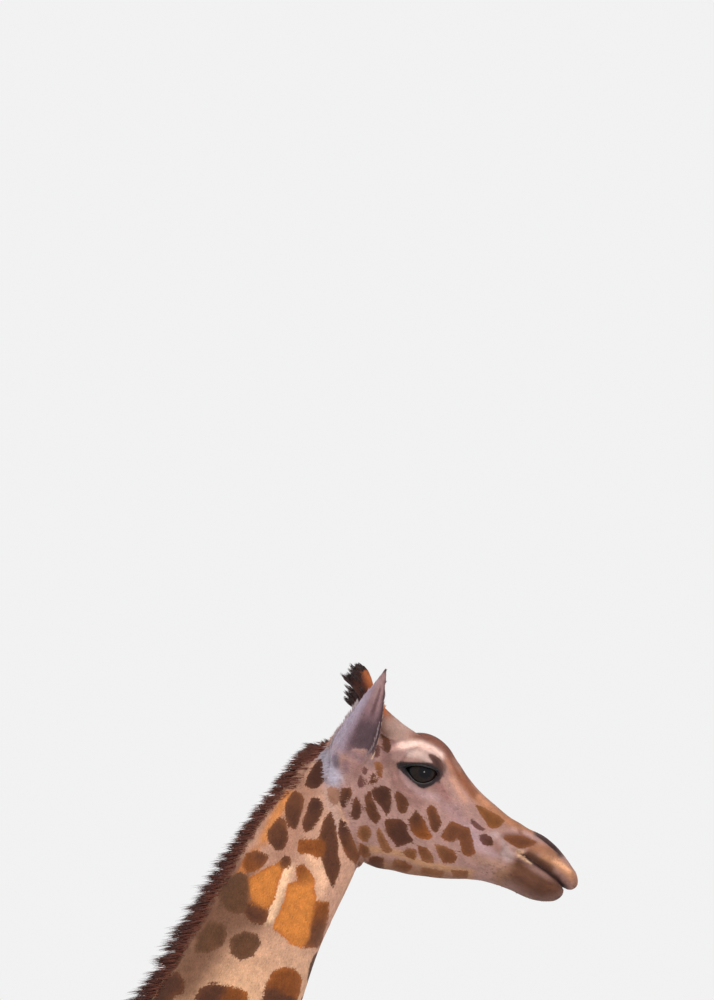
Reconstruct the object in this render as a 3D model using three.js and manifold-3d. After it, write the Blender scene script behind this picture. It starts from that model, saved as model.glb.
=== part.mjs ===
// A young giraffe, standing still, as one life-size museum model in millimetres: +X forward, +Y to its
// left, +Z up, the soles of the hooves on Z = 0. The flesh is made whole, from bodies swept along the
// animal's own lines, and then parted with thin cuts where the parts of the body are named.
import * as THREE from "three";
import { mergeVertices } from "three/addons/utils/BufferGeometryUtils.js";
import Module from "manifold-3d";

const wasm = await Module();
wasm.setup();

// ---- Driving dimensions ----------------------------------------------------------------------------

const GAP = 0.4; // width of each thin cut
const POLL = new THREE.Vector3(1040, 0, 2880); // where head and neck meet: origin of the head's frame
const HEAD_DROP = THREE.MathUtils.degToRad(24.35); // how far the muzzle points below the horizontal
const HOOF_HEIGHT = 72;
const EYE_RADIUS = 34;
const EYE = new THREE.Vector3(130, 63, 52); // centre of the left eye in the head's frame
const MANE_HEIGHTS = [38, 30]; // along the neck, and at its top behind the ears
const MANE_HALF_WIDTH = 17;

// Swept bodies. A row is one section: centre x, y, z, half width, reach up (forward on a leg, to the
// crest on the neck), reach down, and how much narrower the section is above than below.
const TRUNK = {
  rows: [
    [-606, 0, 1585, 70, 80, 90, 0],
    [-540, 0, 1585, 125, 140, 150, 0.05],
    [-430, 0, 1590, 168, 192, 200, 0.1],
    [-270, 0, 1598, 198, 236, 230, 0.12],
    [-90, 0, 1600, 224, 284, 288, 0.12],
    [90, 0, 1615, 232, 348, 328, 0.18],
    [250, 0, 1645, 212, 426, 350, 0.3],
    [380, 0, 1650, 190, 390, 326, 0.3],
    [500, 0, 1650, 158, 292, 268, 0.15],
    [610, 0, 1645, 100, 150, 150, 0],
  ],
  around: 24,
  steps: 18,
  capStart: 50,
  capEnd: 60,
  normal: [1, 0, 0],
};
const NECK = {
  rows: [
    [300, 0, 1560, 138, 220, 225, 0.2],
    [375, 0, 1690, 150, 245, 235, 0.25],
    [440, 0, 1800, 152, 246, 236, 0.25],
    [520, 0, 1920, 132, 214, 205, 0.2],
    [635, 0, 2100, 104, 176, 168, 0.16],
    [740, 0, 2280, 86, 146, 140, 0.14],
    [835, 0, 2460, 74, 131, 120, 0.12],
    [903, 0, 2600, 67, 118, 104, 0.1],
    [963, 0, 2735, 63, 101, 93, 0.08],
    [1012, 0, 2842, 58, 80, 84, 0],
    [1046, 0, 2908, 54, 66, 60, 0],
  ],
  around: 18,
  steps: 12,
  capStart: 30,
  capEnd: 40,
};
const FORELEG = {
  rows: [
    [415, 92, 1800, 58, 110, 120, 0],
    [430, 118, 1620, 64, 138, 150, 0],
    [420, 126, 1450, 60, 112, 124, 0],
    [404, 121, 1290, 48, 72, 80, 0],
    [402, 112, 1030, 36, 46, 49, 0],
    [405, 108, 800, 32, 37, 38, 0],
    [408, 107, 700, 38, 45, 41, 0],
    [406, 107, 610, 30, 34, 35, 0],
    [404, 106, 420, 25, 27, 30, 0],
    [404, 106, 265, 26, 28, 32, 0],
    [407, 106, 190, 32, 33, 40, 0],
    [422, 106, 128, 29, 30, 32, 0],
    [438, 106, 85, 36, 38, 36, 0],
    [442, 106, 50, 40, 44, 40, 0],
  ],
  around: 10,
  steps: 22,
  capStart: 60,
  capEnd: 0,
};
const HIND_LEG = {
  rows: [
    [-400, 92, 1650, 66, 130, 130, 0],
    [-405, 118, 1510, 76, 168, 160, 0],
    [-388, 122, 1360, 68, 142, 158, 0],
    [-378, 115, 1225, 56, 104, 126, 0],
    [-412, 108, 1065, 42, 68, 80, 0],
    [-455, 104, 925, 33, 44, 52, 0],
    [-496, 102, 805, 34, 41, 54, 0],
    [-499, 102, 720, 31, 36, 42, 0],
    [-491, 102, 560, 26, 29, 32, 0],
    [-487, 102, 360, 25, 27, 30, 0],
    [-484, 102, 195, 31, 33, 39, 0],
    [-470, 102, 128, 28, 30, 31, 0],
    [-452, 102, 85, 35, 38, 36, 0],
    [-449, 102, 50, 39, 44, 40, 0],
  ],
  around: 10,
  steps: 22,
  capStart: 60,
  capEnd: 0,
};
const LEGS = [
  // name, plan, side (left +1), how far forward of square the hoof stands
  ["foreleg_left", FORELEG, 1, 55],
  ["foreleg_right", FORELEG, -1, -25],
  ["hindleg_left", HIND_LEG, 1, -40],
  ["hindleg_right", HIND_LEG, -1, 60],
];
const LEG_LEANS_FROM = 1400; // a leg set forward or back leans from this height down
const TAIL = {
  rows: [
    [-560, 0, 1690, 34, 30, 34, 0],
    [-620, 0, 1655, 25, 23, 24, 0],
    [-662, 0, 1560, 19, 17, 18, 0],
    [-680, 0, 1400, 14, 13, 13, 0],
    [-682, 0, 1180, 12, 11, 11, 0],
  ],
  around: 8,
  steps: 9,
  capStart: 20,
  capEnd: 0,
};
const TAIL_TUFT = {
  rows: [
    [-682, 0, 1180 - GAP, 13, 12, 12, 0],
    [-684, 0, 1080, 22, 22, 24, 0],
    [-686, 0, 930, 32, 32, 36, 0],
    [-684, 0, 780, 28, 30, 34, 0],
    [-680, 0, 660, 14, 16, 18, 0],
    [-678, 0, 610, 7, 8, 8, 0],
  ],
  around: 8,
  steps: 9,
  capStart: 0,
  capEnd: 20,
};

// The head's frame: x forward along the head from the poll, y left, z up from the head's axis.
const SKULL = {
  rows: [
    [-76, 0, -20, 52, 40, 58, 0],
    [-30, 0, 8, 62, 62, 108, 0],
    [30, 0, 24, 74, 84, 140, -0.05],
    [80, 0, 38, 82, 86, 164, -0.1],
    [118, 0, 48, 87, 84, 176, -0.12],
    [150, 0, 44, 82, 84, 164, -0.1],
    [179, 0, 32, 72, 80, 147, -0.08],
    [209, 0, 18, 62, 73, 124, -0.05],
    [241, 0, 6, 54, 68, 102, 0],
    [281, 0, 0, 48, 60, 81, 0],
    [311, 0, 2, 46, 51, 68, 0],
    [334, 0, 6, 45, 45, 42, 0],
    [352, 0, 8, 45, 41, 19, 0.05],
    [384, 0, 8, 45, 40, 18, 0.1],
    [412, 0, 6, 44, 34, 23, 0.1],
    [436, 0, 2, 41, 26, 25, 0.05],
    [462, 0, -6, 33, 17, 18, 0],
    [477, 0, -9, 23, 12, 12, 0],
  ],
  around: 22,
  steps: 22,
  capStart: 30,
  capEnd: 14,
  normal: [1, 0, 0],
};
const JAW = {
  rows: [
    [240, 0, -48, 30, 22, 34, 0],
    [281, 0, -46, 42, 32, 34, 0],
    [311, 0, -46, 44, 34, 25, 0],
    [344, 0, -44, 43, 34, 21, 0],
    [371, 0, -43, 42, 34, 21, 0],
    [392, 0, -44, 41, 34, 23, 0],
    [416, 0, -45, 40, 29, 21, 0],
    [438, 0, -43, 36, 20, 16, 0],
    [459, 0, -36, 28, 12, 11, 0],
  ],
  around: 14,
  steps: 10,
  capStart: 20,
  capEnd: 14,
  normal: [1, 0, 0],
};
const OSSICONE = {
  rows: [
    [128, 42, 78, 18, 22, 22, 0],
    [92, 45, 96, 20, 24, 26, 0],
    [48, 50, 110, 19, 20, 22, 0],
    [0, 56, 129, 17, 17, 18, 0],
    [-40, 62, 151, 17, 17, 17, 0],
    [-68, 66, 169, 19, 19, 19, 0],
    [-86, 69, 180, 12, 12, 12, 0],
  ],
  around: 9,
  steps: 8,
  capStart: 10,
  capEnd: 16,
};
const EAR = {
  base: new THREE.Vector3(-6, 60, 0),
  tip: new THREE.Vector3(-12, 128, 196),
  facing: new THREE.Vector3(0.36, 0.93, 0), // the way the cup of the left ear opens
  halfWidths: [
    [0, 26],
    [0.24, 37],
    [0.36, 37],
    [0.52, 31],
    [0.72, 20],
    [0.87, 10],
    [1, 2],
  ],
  cupDepths: [
    [0, 26],
    [0.3, 24],
    [0.7, 12],
    [1, 3],
  ],
  thickness: 7,
  across: 5,
  along: 8,
};
const NOSTRIL = { centre: [400, 28, 36], size: [32, 6, 8], drop: 0.33 };
const HOOF = {
  rows: [
    [-4, 0, HOOF_HEIGHT, 19, 34, 36, 0],
    [2, 0, 36, 22, 48, 44, 0],
    [6, 0, 0, 23.5, 60, 50, 0],
  ],
  around: 14,
  steps: 3,
  capStart: 0,
  capEnd: 0,
  normal: [0, 0, -1],
  spread: 24, // of each claw from the middle of the foot
  forward: 10, // of the claws from the end of the leg
};

// ---- Shapes ----------------------------------------------------------------------------------------

// A smooth curve through [t, value] pairs, by cubic pieces whose slopes are those of their neighbours.
function curve(pairs) {
  const last = pairs.length - 1;
  const slope = (i) => {
    const [t0, v0] = pairs[Math.max(i - 1, 0)];
    const [t1, v1] = pairs[Math.min(i + 1, last)];
    return (v1 - v0) / (t1 - t0);
  };
  return (t) => {
    let i = 0;
    while (i < last - 1 && t > pairs[i + 1][0]) i++;
    const [t0, v0] = pairs[i];
    const [t1, v1] = pairs[i + 1];
    const span = t1 - t0;
    const s = Math.min(Math.max((t - t0) / span, 0), 1);
    const s2 = s * s;
    const s3 = s2 * s;
    return (
      (2 * s3 - 3 * s2 + 1) * v0 +
      (s3 - 2 * s2 + s) * span * slope(i) +
      (3 * s2 - 2 * s3) * v1 +
      (s3 - s2) * span * slope(i + 1)
    );
  };
}

// A closed solid through rings of points, every ring with as many points, capped flat at both ends.
function solidThrough(rings) {
  const n = rings[0].length;
  const positions = rings.flat().flatMap((p) => p.toArray());
  const faces = [];
  for (let r = 0; r < rings.length - 1; r++)
    for (let i = 0; i < n; i++) {
      const a = r * n + i;
      const b = r * n + ((i + 1) % n);
      faces.push(a, b, b + n, a, b + n, a + n);
    }
  for (const [start, flip] of [
    [0, true],
    [(rings.length - 1) * n, false],
  ]) {
    const hub = positions.length / 3;
    const ring = rings[start / n];
    const middle = ring
      .reduce((sum, p) => sum.add(p), new THREE.Vector3())
      .divideScalar(n);
    positions.push(...middle.toArray());
    for (let i = 0; i < n; i++) {
      const a = start + i;
      const b = start + ((i + 1) % n);
      faces.push(...(flip ? [b, a, hub] : [a, b, hub]));
    }
  }
  const geometry = new THREE.BufferGeometry();
  geometry.setAttribute(
    "position",
    new THREE.Float32BufferAttribute(positions, 3),
  );
  geometry.setIndex(faces);
  return toSolid(geometry);
}

function toSolid(geometry) {
  geometry.deleteAttribute("normal");
  geometry.deleteAttribute("uv");
  const merged = mergeVertices(geometry, 1e-3);
  return new wasm.Manifold(
    new wasm.Mesh({
      numProp: 3,
      vertProperties: new Float32Array(merged.attributes.position.array),
      triVerts: new Uint32Array(merged.index.array),
    }),
  );
}

// The size of a section at distance d from a rounded end of length cap: a quarter of an ellipse.
const rounding = (d, cap) =>
  cap > 0 && d < cap ? Math.sqrt(Math.max(1 - (1 - d / cap) ** 2, 0.02)) : 1;

// A body swept through the rows of its plan. Sections stand square to the path, with their width
// across the animal, unless the plan gives their normal; the lower half is fuller than an ellipse.
function sweep(plan) {
  const { rows, around, steps, capStart, capEnd, normal } = plan;
  const at = [0];
  for (let i = 1; i < rows.length; i++)
    at.push(
      at[i - 1] +
        Math.hypot(...[0, 1, 2].map((k) => rows[i][k] - rows[i - 1][k])),
    );
  const length = at[at.length - 1];
  const column = rows[0].map((_, k) => curve(rows.map((r, i) => [at[i], r[k]])));
  const centre = (s) => new THREE.Vector3(...[0, 1, 2].map((k) => column[k](s)));
  const rings = [];
  for (let i = 0; i <= steps; i++) {
    // Sections crowd towards the ends, and more so where the end is rounded.
    const even = i / steps;
    const eased = (1 - Math.cos(Math.PI * even)) / 2;
    const s = length * THREE.MathUtils.lerp(even, eased, capEnd > 0 ? 0.6 : 0.2);
    const ahead = centre(Math.min(s + 1, length));
    const tangent = normal
      ? new THREE.Vector3(...normal)
      : ahead.sub(centre(Math.max(s - 1, 0))).normalize();
    const side = new THREE.Vector3(0, 1, 0)
      .addScaledVector(tangent, -tangent.y)
      .normalize();
    const up = tangent.clone().cross(side);
    const size = rounding(s, capStart) * rounding(length - s, capEnd);
    const [width, rise, fall, taper] = [3, 4, 5, 6].map((k) => column[k](s));
    rings.push(
      Array.from({ length: around }, (_, j) => {
        const angle = (2 * Math.PI * j) / around;
        const [c, q] = [Math.cos(angle), Math.sin(angle)];
        const power = q < 0 ? 0.85 : 1;
        const across =
          Math.sign(c) * Math.abs(c) ** power * width * (1 - taper * q);
        const lift =
          Math.sign(q) * Math.abs(q) ** power * (q < 0 ? fall : rise);
        return centre(s)
          .addScaledVector(side, across * size)
          .addScaledVector(up, lift * size);
      }),
    );
  }
  return solidThrough(rings);
}

// An ear: a pointed leaf bent round its long axis into a cup, with an outer and an inner skin.
function earSolid() {
  const { base, tip, facing, thickness, across, along } = EAR;
  const axis = tip.clone().sub(base);
  const open = facing.clone().projectOnPlane(axis.clone().normalize());
  open.normalize();
  const width = axis.clone().normalize().cross(open);
  const halfWidth = curve(EAR.halfWidths);
  const depth = curve(EAR.cupDepths);
  const rings = [];
  for (let i = 0; i <= along; i++) {
    const t = i / along;
    const ring = [];
    for (const inner of [false, true])
      for (let j = 0; j <= across; j++) {
        const a = inner ? 1 - (2 * j) / across : (2 * j) / across - 1;
        const bend = depth(t) * (a * a - 0.5);
        const wall = (inner ? thickness : 0) * (1 - 0.5 * a * a) * (1 - 0.5 * t);
        ring.push(
          base
            .clone()
            .addScaledVector(axis, t)
            .addScaledVector(width, -a * halfWidth(t) * (inner ? 0.94 : 1))
            .addScaledVector(open, bend + wall),
        );
      }
    rings.push(ring);
  }
  return solidThrough(rings);
}

function ellipsoid(centre, size, turn = 0) {
  const ball = new THREE.SphereGeometry(1, 12, 8);
  ball.scale(...size);
  ball.rotateY(turn);
  ball.translate(...centre);
  return toSolid(ball);
}

// The opening between the lids: an almond, flat above and round below, pushed through the lids.
function eyeOpening() {
  const almond = new THREE.Shape();
  almond.moveTo(-29, -6);
  almond.quadraticCurveTo(-12, 5, 25, 11);
  almond.quadraticCurveTo(31, 4, 26, -10);
  almond.quadraticCurveTo(12, -30, -10, -22);
  almond.quadraticCurveTo(-22, -15, -29, -6);
  const prism = new THREE.ExtrudeGeometry(almond, {
    depth: 60,
    bevelEnabled: false,
    curveSegments: 5,
  });
  prism.rotateX(Math.PI / 2);
  prism.translate(EYE.x, EYE.y + 70, EYE.z);
  return toSolid(prism);
}

// A flat slab as thick as a cut, square to the direction given, to part a body there: its width runs
// across the animal, its length the other way.
function cut(centre, direction, [width, length]) {
  const slab = new THREE.BoxGeometry(width, length, GAP);
  const normal = new THREE.Vector3(...direction).normalize();
  const across = new THREE.Vector3(0, 1, 0).projectOnPlane(normal).normalize();
  const along = normal.clone().cross(across);
  const turn = new THREE.Matrix4().makeBasis(across, along, normal);
  slab.applyMatrix4(turn.setPosition(...centre));
  return toSolid(slab);
}

const mirrored = (solid) => solid.mirror([0, 1, 0]);
const union = (...solids) => solids.reduce((a, b) => a.add(b));

// ---- The head, in its own frame --------------------------------------------------------------------

const headFrame = new THREE.Matrix4()
  .makeRotationY(HEAD_DROP)
  .setPosition(POLL.x, POLL.y, POLL.z);
const toBody = (solid) => solid.transform(headFrame.elements);
const headPoint = (x, y, z) =>
  new THREE.Vector3(x, y, z).applyMatrix4(headFrame).toArray();

function bareHead() {
  const lid = ellipsoid(EYE.toArray(), Array(3).fill(EYE_RADIUS + 4.5));
  const orbit = ellipsoid([120, 50, 60], [62, 46, 46], 0.1);
  const earRoot = ellipsoid([-8, 42, 8], [44, 34, 48]);
  const sockets = union(lid, orbit, earRoot);
  const forehead = ellipsoid([120, 0, 104], [52, 46, 39], 0.2);
  const nostril = ellipsoid(NOSTRIL.centre, NOSTRIL.size, NOSTRIL.drop);
  const hollow = ellipsoid(EYE.toArray(), Array(3).fill(EYE_RADIUS + GAP));
  const opening = union(eyeOpening(), hollow, nostril);
  return union(sweep(SKULL), sweep(JAW), forehead, sockets, mirrored(sockets))
    .subtract(opening)
    .subtract(mirrored(opening));
}

// ---- The whole animal ------------------------------------------------------------------------------

// A leg's plan, moved to its side and leaning so that its hoof stands forward or back of square.
function legPlan(plan, side, forward) {
  const lean = (z) => forward * Math.max(0, 1 - z / LEG_LEANS_FROM);
  const rows = plan.rows.map(([x, y, z, ...rest]) => [
    x + lean(z),
    side * y,
    z,
    ...rest,
  ]);
  return { ...plan, rows };
}

// The mane: a ridge of hair on the crest of the neck, from between the ears to the withers.
function manePlan() {
  const crest = NECK.rows.slice(1).map(([x, , z, , rise], i, rows) => {
    const before = rows[Math.max(i - 1, 0)];
    const after = rows[Math.min(i + 1, rows.length - 1)];
    const run = new THREE.Vector2(after[0] - before[0], after[2] - before[2]);
    run.normalize();
    return [x - run.y * rise, z + run.x * rise];
  });
  const rows = crest.slice(1).map(([x, z], i, all) => [
    x,
    0,
    z,
    MANE_HALF_WIDTH,
    MANE_HEIGHTS[i < all.length - 2 ? 0 : 1],
    16,
    0.6,
  ]);
  return { rows, around: 7, steps: 14, capStart: 60, capEnd: 30 };
}

const head = toBody(bareHead());
const legs = LEGS.map(([name, plan, side, forward]) => ({
  name,
  side,
  hind: plan === HIND_LEG,
  plan: legPlan(plan, side, forward),
}));
const flesh = union(
  sweep(TRUNK),
  sweep(NECK),
  head,
  sweep(TAIL),
  ...legs.map((leg) => sweep(leg.plan)),
).trimByPlane([0, 0, 1], HOOF_HEIGHT + GAP);

const neckSlant = [0.5, 0, 0.87];
const cuts = [
  cut([983, 0, 2756], [0.72, 0, 0.69], [260, 300]), // head from neck
  cut([788, 0, 2370], neckSlant, [260, 420]), // upper from lower neck
  cut([560, 0, 1985], [0.62, 0, 0.78], [420, 620]), // neck from trunk
  cut([-616, 0, 1658], [0.75, 0, 0.66], [90, 90]), // tail from rump
  toBody(cut([425, 0, -20], [0.16, 0, 1], [120, 190])), // the mouth
  toBody(cut([290, 0, -66], [0.76, 0, -0.65], [120, 170])), // the jaw behind it
  ...legs.flatMap(({ side, hind, plan }) => {
    const top = hind ? [-395, side * 135, 1412] : [410, side * 140, 1322];
    const slope = hind ? [0.3, -side * 0.75, 1] : [0, -side * 0.6, 1];
    const knee = plan.rows[6];
    return [
      cut(top, slope, [300, hind ? 460 : 340]),
      cut(knee.slice(0, 3), [0, 0, 1], [110, 130]),
    ];
  }),
];
const pieces = flesh.subtract(union(...cuts)).decompose();

// The piece of the parted flesh that holds a point.
function pieceAt(point) {
  const probe = toSolid(new THREE.BoxGeometry(2, 2, 2).translate(...point));
  return pieces.find((piece) => !piece.intersect(probe).isEmpty());
}

const hide = new THREE.MeshStandardMaterial({ color: 0xc39468, roughness: 0.85 });
const hair = new THREE.MeshStandardMaterial({ color: 0x3a221a, roughness: 0.9 });
const horn = new THREE.MeshStandardMaterial({ color: 0x2e2723, roughness: 0.5 });
const eyeball = new THREE.MeshStandardMaterial({ color: 0x0d0a09, roughness: 0.1 });
const giraffe = new THREE.Group();

function addNode(name, solid, material) {
  const mesh = solid.getMesh();
  const geometry = new THREE.BufferGeometry();
  geometry.setAttribute(
    "position",
    new THREE.BufferAttribute(mesh.vertProperties, 3),
  );
  geometry.setIndex(new THREE.BufferAttribute(mesh.triVerts, 1));
  geometry.computeVertexNormals();
  const node = new THREE.Mesh(geometry, material);
  node.name = name;
  giraffe.add(node);
}

addNode("head", pieceAt(headPoint(120, 0, 20)), hide);
addNode("lower_jaw", pieceAt(headPoint(400, 0, -52)), hide);
addNode("neck_upper", pieceAt([880, 0, 2560]), hide);
addNode("neck_lower", pieceAt([660, 0, 2140]), hide);
addNode("trunk", pieceAt([0, 0, 1600]), hide);
addNode("tail", pieceAt([-680, 0, 1400]), hide);
addNode("tail_tuft", sweep(TAIL_TUFT), hair);
for (const { name, plan } of legs) {
  const [upper, lower] = [plan.rows[4], plan.rows[8]];
  addNode(name + "_upper", pieceAt(upper.slice(0, 3)), hide);
  addNode(name + "_lower", pieceAt(lower.slice(0, 3)), hide);
}

// What stands on the flesh is cut off at its surface, with a thin gap left in the direction given.
function clearOf(solid, body, outward) {
  const gap = new THREE.Vector3(...outward).setLength(2 * GAP);
  const moved = body.translate(...gap.toArray());
  const parts = solid.subtract(body).subtract(moved).decompose();
  return parts.reduce((a, b) => (a.volume() > b.volume() ? a : b));
}

for (const [side, name] of [
  [1, "left"],
  [-1, "right"],
]) {
  const place = (solid) => toBody(side > 0 ? solid : mirrored(solid));
  const outward = [-0.1, side * 0.5, 0.9];
  addNode("ear_" + name, clearOf(place(earSolid()), flesh, outward), hide);
  addNode(
    "ossicone_" + name,
    clearOf(place(sweep(OSSICONE)), flesh, [-0.8, side * 0.3, 0.9]),
    hide,
  );
  const eye = ellipsoid(EYE.toArray(), Array(3).fill(EYE_RADIUS));
  addNode("eye_" + name, place(eye), eyeball);
}
addNode("mane", clearOf(sweep(manePlan()), flesh, [-0.87, 0, 0.5]), hair);

for (const { name, plan } of legs) {
  const [x, y] = plan.rows[plan.rows.length - 1];
  for (const [claw, offset] of [
    ["outer", Math.sign(y) * HOOF.spread],
    ["inner", -Math.sign(y) * HOOF.spread],
  ])
    addNode(
      name + "_hoof_" + claw,
      sweep(HOOF).translate(x + HOOF.forward, y + offset, 0),
      horn,
    );
}

// The frame's origin is on the floor, at the middle of the animal's length.
const extent = new THREE.Box3().setFromObject(giraffe);
const middle = extent.getCenter(new THREE.Vector3());
giraffe.position.set(-middle.x, -middle.y, -extent.min.z);

export default giraffe;
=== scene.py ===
import math

import bpy
import numpy as np
import openvdb
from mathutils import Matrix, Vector


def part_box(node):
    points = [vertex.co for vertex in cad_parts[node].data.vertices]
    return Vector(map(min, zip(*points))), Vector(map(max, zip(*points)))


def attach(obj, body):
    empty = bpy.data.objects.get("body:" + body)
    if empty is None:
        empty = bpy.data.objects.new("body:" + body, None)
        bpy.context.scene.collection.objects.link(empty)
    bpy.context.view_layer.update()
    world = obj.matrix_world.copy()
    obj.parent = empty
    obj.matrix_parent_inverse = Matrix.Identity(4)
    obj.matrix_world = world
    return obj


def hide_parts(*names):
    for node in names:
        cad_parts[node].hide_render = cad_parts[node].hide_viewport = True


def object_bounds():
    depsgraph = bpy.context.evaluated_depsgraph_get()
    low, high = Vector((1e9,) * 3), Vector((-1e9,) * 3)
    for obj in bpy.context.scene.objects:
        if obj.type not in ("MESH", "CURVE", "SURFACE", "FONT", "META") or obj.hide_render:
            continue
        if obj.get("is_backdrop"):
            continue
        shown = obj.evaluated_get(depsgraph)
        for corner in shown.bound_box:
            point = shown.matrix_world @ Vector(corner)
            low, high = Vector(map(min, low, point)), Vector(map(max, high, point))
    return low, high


# A young giraffe as a life-size museum model: one skin from lips to pasterns, its short coat, mane and
# tail hair, the ossicones' tufts, eyes, lids and hooves. Plans are in millimetres in the animal's own
# frame, as on the frame it dresses; meshes are in metres.

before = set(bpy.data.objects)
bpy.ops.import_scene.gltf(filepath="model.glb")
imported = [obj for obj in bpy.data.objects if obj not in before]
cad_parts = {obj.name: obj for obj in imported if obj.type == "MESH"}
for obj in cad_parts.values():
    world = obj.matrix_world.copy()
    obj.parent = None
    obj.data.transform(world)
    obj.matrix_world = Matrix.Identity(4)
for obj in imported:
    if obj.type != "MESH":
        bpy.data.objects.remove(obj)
cad_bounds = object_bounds()
random = np.random.default_rng(7)

# ---- Plans ----

# A row is one section: centre x, y, z, half width, reach up (forward on a leg, to the crest on the
# neck), reach down, and how much narrower the section is above than below.
TRUNK = [
    (-606, 0, 1585, 70, 80, 90, 0),
    (-540, 0, 1585, 125, 140, 150, 0.05),
    (-430, 0, 1590, 168, 192, 200, 0.1),
    (-270, 0, 1598, 198, 236, 230, 0.12),
    (-90, 0, 1600, 224, 284, 288, 0.12),
    (90, 0, 1615, 232, 348, 328, 0.18),
    (250, 0, 1645, 212, 426, 350, 0.3),
    (380, 0, 1650, 190, 390, 326, 0.3),
    (500, 0, 1650, 158, 292, 268, 0.15),
    (610, 0, 1645, 100, 150, 150, 0),
]
NECK = [
    (300, 0, 1560, 138, 220, 225, 0.2),
    (375, 0, 1690, 150, 245, 235, 0.25),
    (440, 0, 1800, 152, 246, 236, 0.25),
    (520, 0, 1920, 132, 214, 205, 0.2),
    (635, 0, 2100, 104, 176, 168, 0.16),
    (740, 0, 2280, 86, 146, 140, 0.14),
    (835, 0, 2460, 74, 131, 120, 0.12),
    (903, 0, 2600, 67, 118, 104, 0.1),
    (963, 0, 2735, 63, 101, 93, 0.08),
    (1012, 0, 2842, 58, 80, 84, 0),
    (1046, 0, 2908, 54, 66, 60, 0),
]
FORELEG = [
    (415, 92, 1800, 58, 110, 120, 0),
    (430, 118, 1620, 64, 138, 150, 0),
    (420, 126, 1450, 60, 112, 124, 0),
    (404, 121, 1290, 48, 72, 80, 0),
    (402, 112, 1030, 36, 46, 49, 0),
    (405, 108, 800, 32, 37, 38, 0),
    (408, 107, 700, 38, 45, 41, 0),
    (406, 107, 610, 30, 34, 35, 0),
    (404, 106, 420, 25, 27, 30, 0),
    (404, 106, 265, 26, 28, 32, 0),
    (407, 106, 190, 32, 33, 40, 0),
    (422, 106, 128, 29, 30, 32, 0),
    (438, 106, 85, 36, 38, 36, 0),
    (442, 106, 50, 40, 44, 40, 0),
]
HIND_LEG = [
    (-400, 92, 1650, 66, 130, 130, 0),
    (-405, 118, 1510, 76, 168, 160, 0),
    (-388, 122, 1360, 68, 142, 158, 0),
    (-378, 115, 1225, 56, 104, 126, 0),
    (-412, 108, 1065, 42, 68, 80, 0),
    (-455, 104, 925, 33, 44, 52, 0),
    (-496, 102, 805, 34, 41, 54, 0),
    (-499, 102, 720, 31, 36, 42, 0),
    (-491, 102, 560, 26, 29, 32, 0),
    (-487, 102, 360, 25, 27, 30, 0),
    (-484, 102, 195, 31, 33, 39, 0),
    (-470, 102, 128, 28, 30, 31, 0),
    (-452, 102, 85, 35, 38, 36, 0),
    (-449, 102, 50, 39, 44, 40, 0),
]
LEGS = [
    # name, plan, side (left +1), how far forward of square the hoof stands
    ("foreleg_left", FORELEG, 1, 55),
    ("foreleg_right", FORELEG, -1, -25),
    ("hindleg_left", HIND_LEG, 1, -40),
    ("hindleg_right", HIND_LEG, -1, 60),
]
LEG_LEANS_FROM = 1400
TAIL = [
    (-560, 0, 1690, 34, 30, 34, 0),
    (-620, 0, 1655, 25, 23, 24, 0),
    (-662, 0, 1560, 19, 17, 18, 0),
    (-680, 0, 1400, 14, 13, 13, 0),
    (-682, 0, 1180, 12, 11, 11, 0),
    (-683, 0, 1130, 9, 9, 9, 0),
]
TAIL_TUFT = [
    (-682, 0, 1180, 13, 12, 12, 0),
    (-684, 0, 1080, 22, 22, 24, 0),
    (-686, 0, 930, 32, 32, 36, 0),
    (-684, 0, 780, 28, 30, 34, 0),
    (-680, 0, 660, 14, 16, 18, 0),
    (-678, 0, 610, 7, 8, 8, 0),
]
HOOF = [
    (-4, 0, 72, 19, 34, 36, 0),
    (2, 0, 36, 22, 48, 44, 0),
    (6, 0, 0, 23.5, 60, 50, 0),
]
HOOF_SPREAD, HOOF_FORWARD = 24, 10

# The head's frame: u forward along the head from the poll, v left, w up from the head's axis.
POLL = np.array([1040.0, 0.0, 2880.0])
HEAD_DROP = math.radians(24.35)
SKULL = [
    (-76, 0, -20, 52, 40, 58, 0),
    (-30, 0, 8, 62, 62, 108, 0),
    (30, 0, 24, 74, 84, 140, -0.05),
    (80, 0, 38, 82, 86, 169, -0.1),
    (118, 0, 48, 87, 84, 181, -0.12),
    (150, 0, 44, 82, 85, 169, -0.1),
    (179, 0, 32, 72, 83, 152, -0.08),
    (209, 0, 18, 62, 78, 129, -0.05),
    (241, 0, 6, 54, 74, 107, 0),
    (281, 0, 0, 48, 67, 84, 0),
    (311, 0, 2, 46, 56, 70, 0),
    (334, 0, 6, 45, 49, 42, 0),
    (352, 0, 8, 45, 44, 19, 0.05),
    (384, 0, 8, 45, 43, 18, 0.1),
    (412, 0, 6, 44, 37, 22, 0.1),
    (436, 0, 2, 41, 29, 23, 0.05),
    (463, 0, -6, 33, 20, 16, 0),
    (479, 0, -9, 23, 13, 12, 0),
]
JAW = [
    (240, 0, -48, 30, 22, 34, 0),
    (281, 0, -46, 42, 32, 34, 0),
    (311, 0, -46, 44, 34, 27, 0),
    (344, 0, -44, 43, 34, 24, 0),
    (371, 0, -43, 42, 34, 24, 0),
    (392, 0, -44, 41, 34, 24, 0),
    (416, 0, -45, 40, 29, 21, 0),
    (438, 0, -43, 36, 20, 16, 0),
    (461, 0, -35, 28, 13, 12, 0),
]
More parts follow.
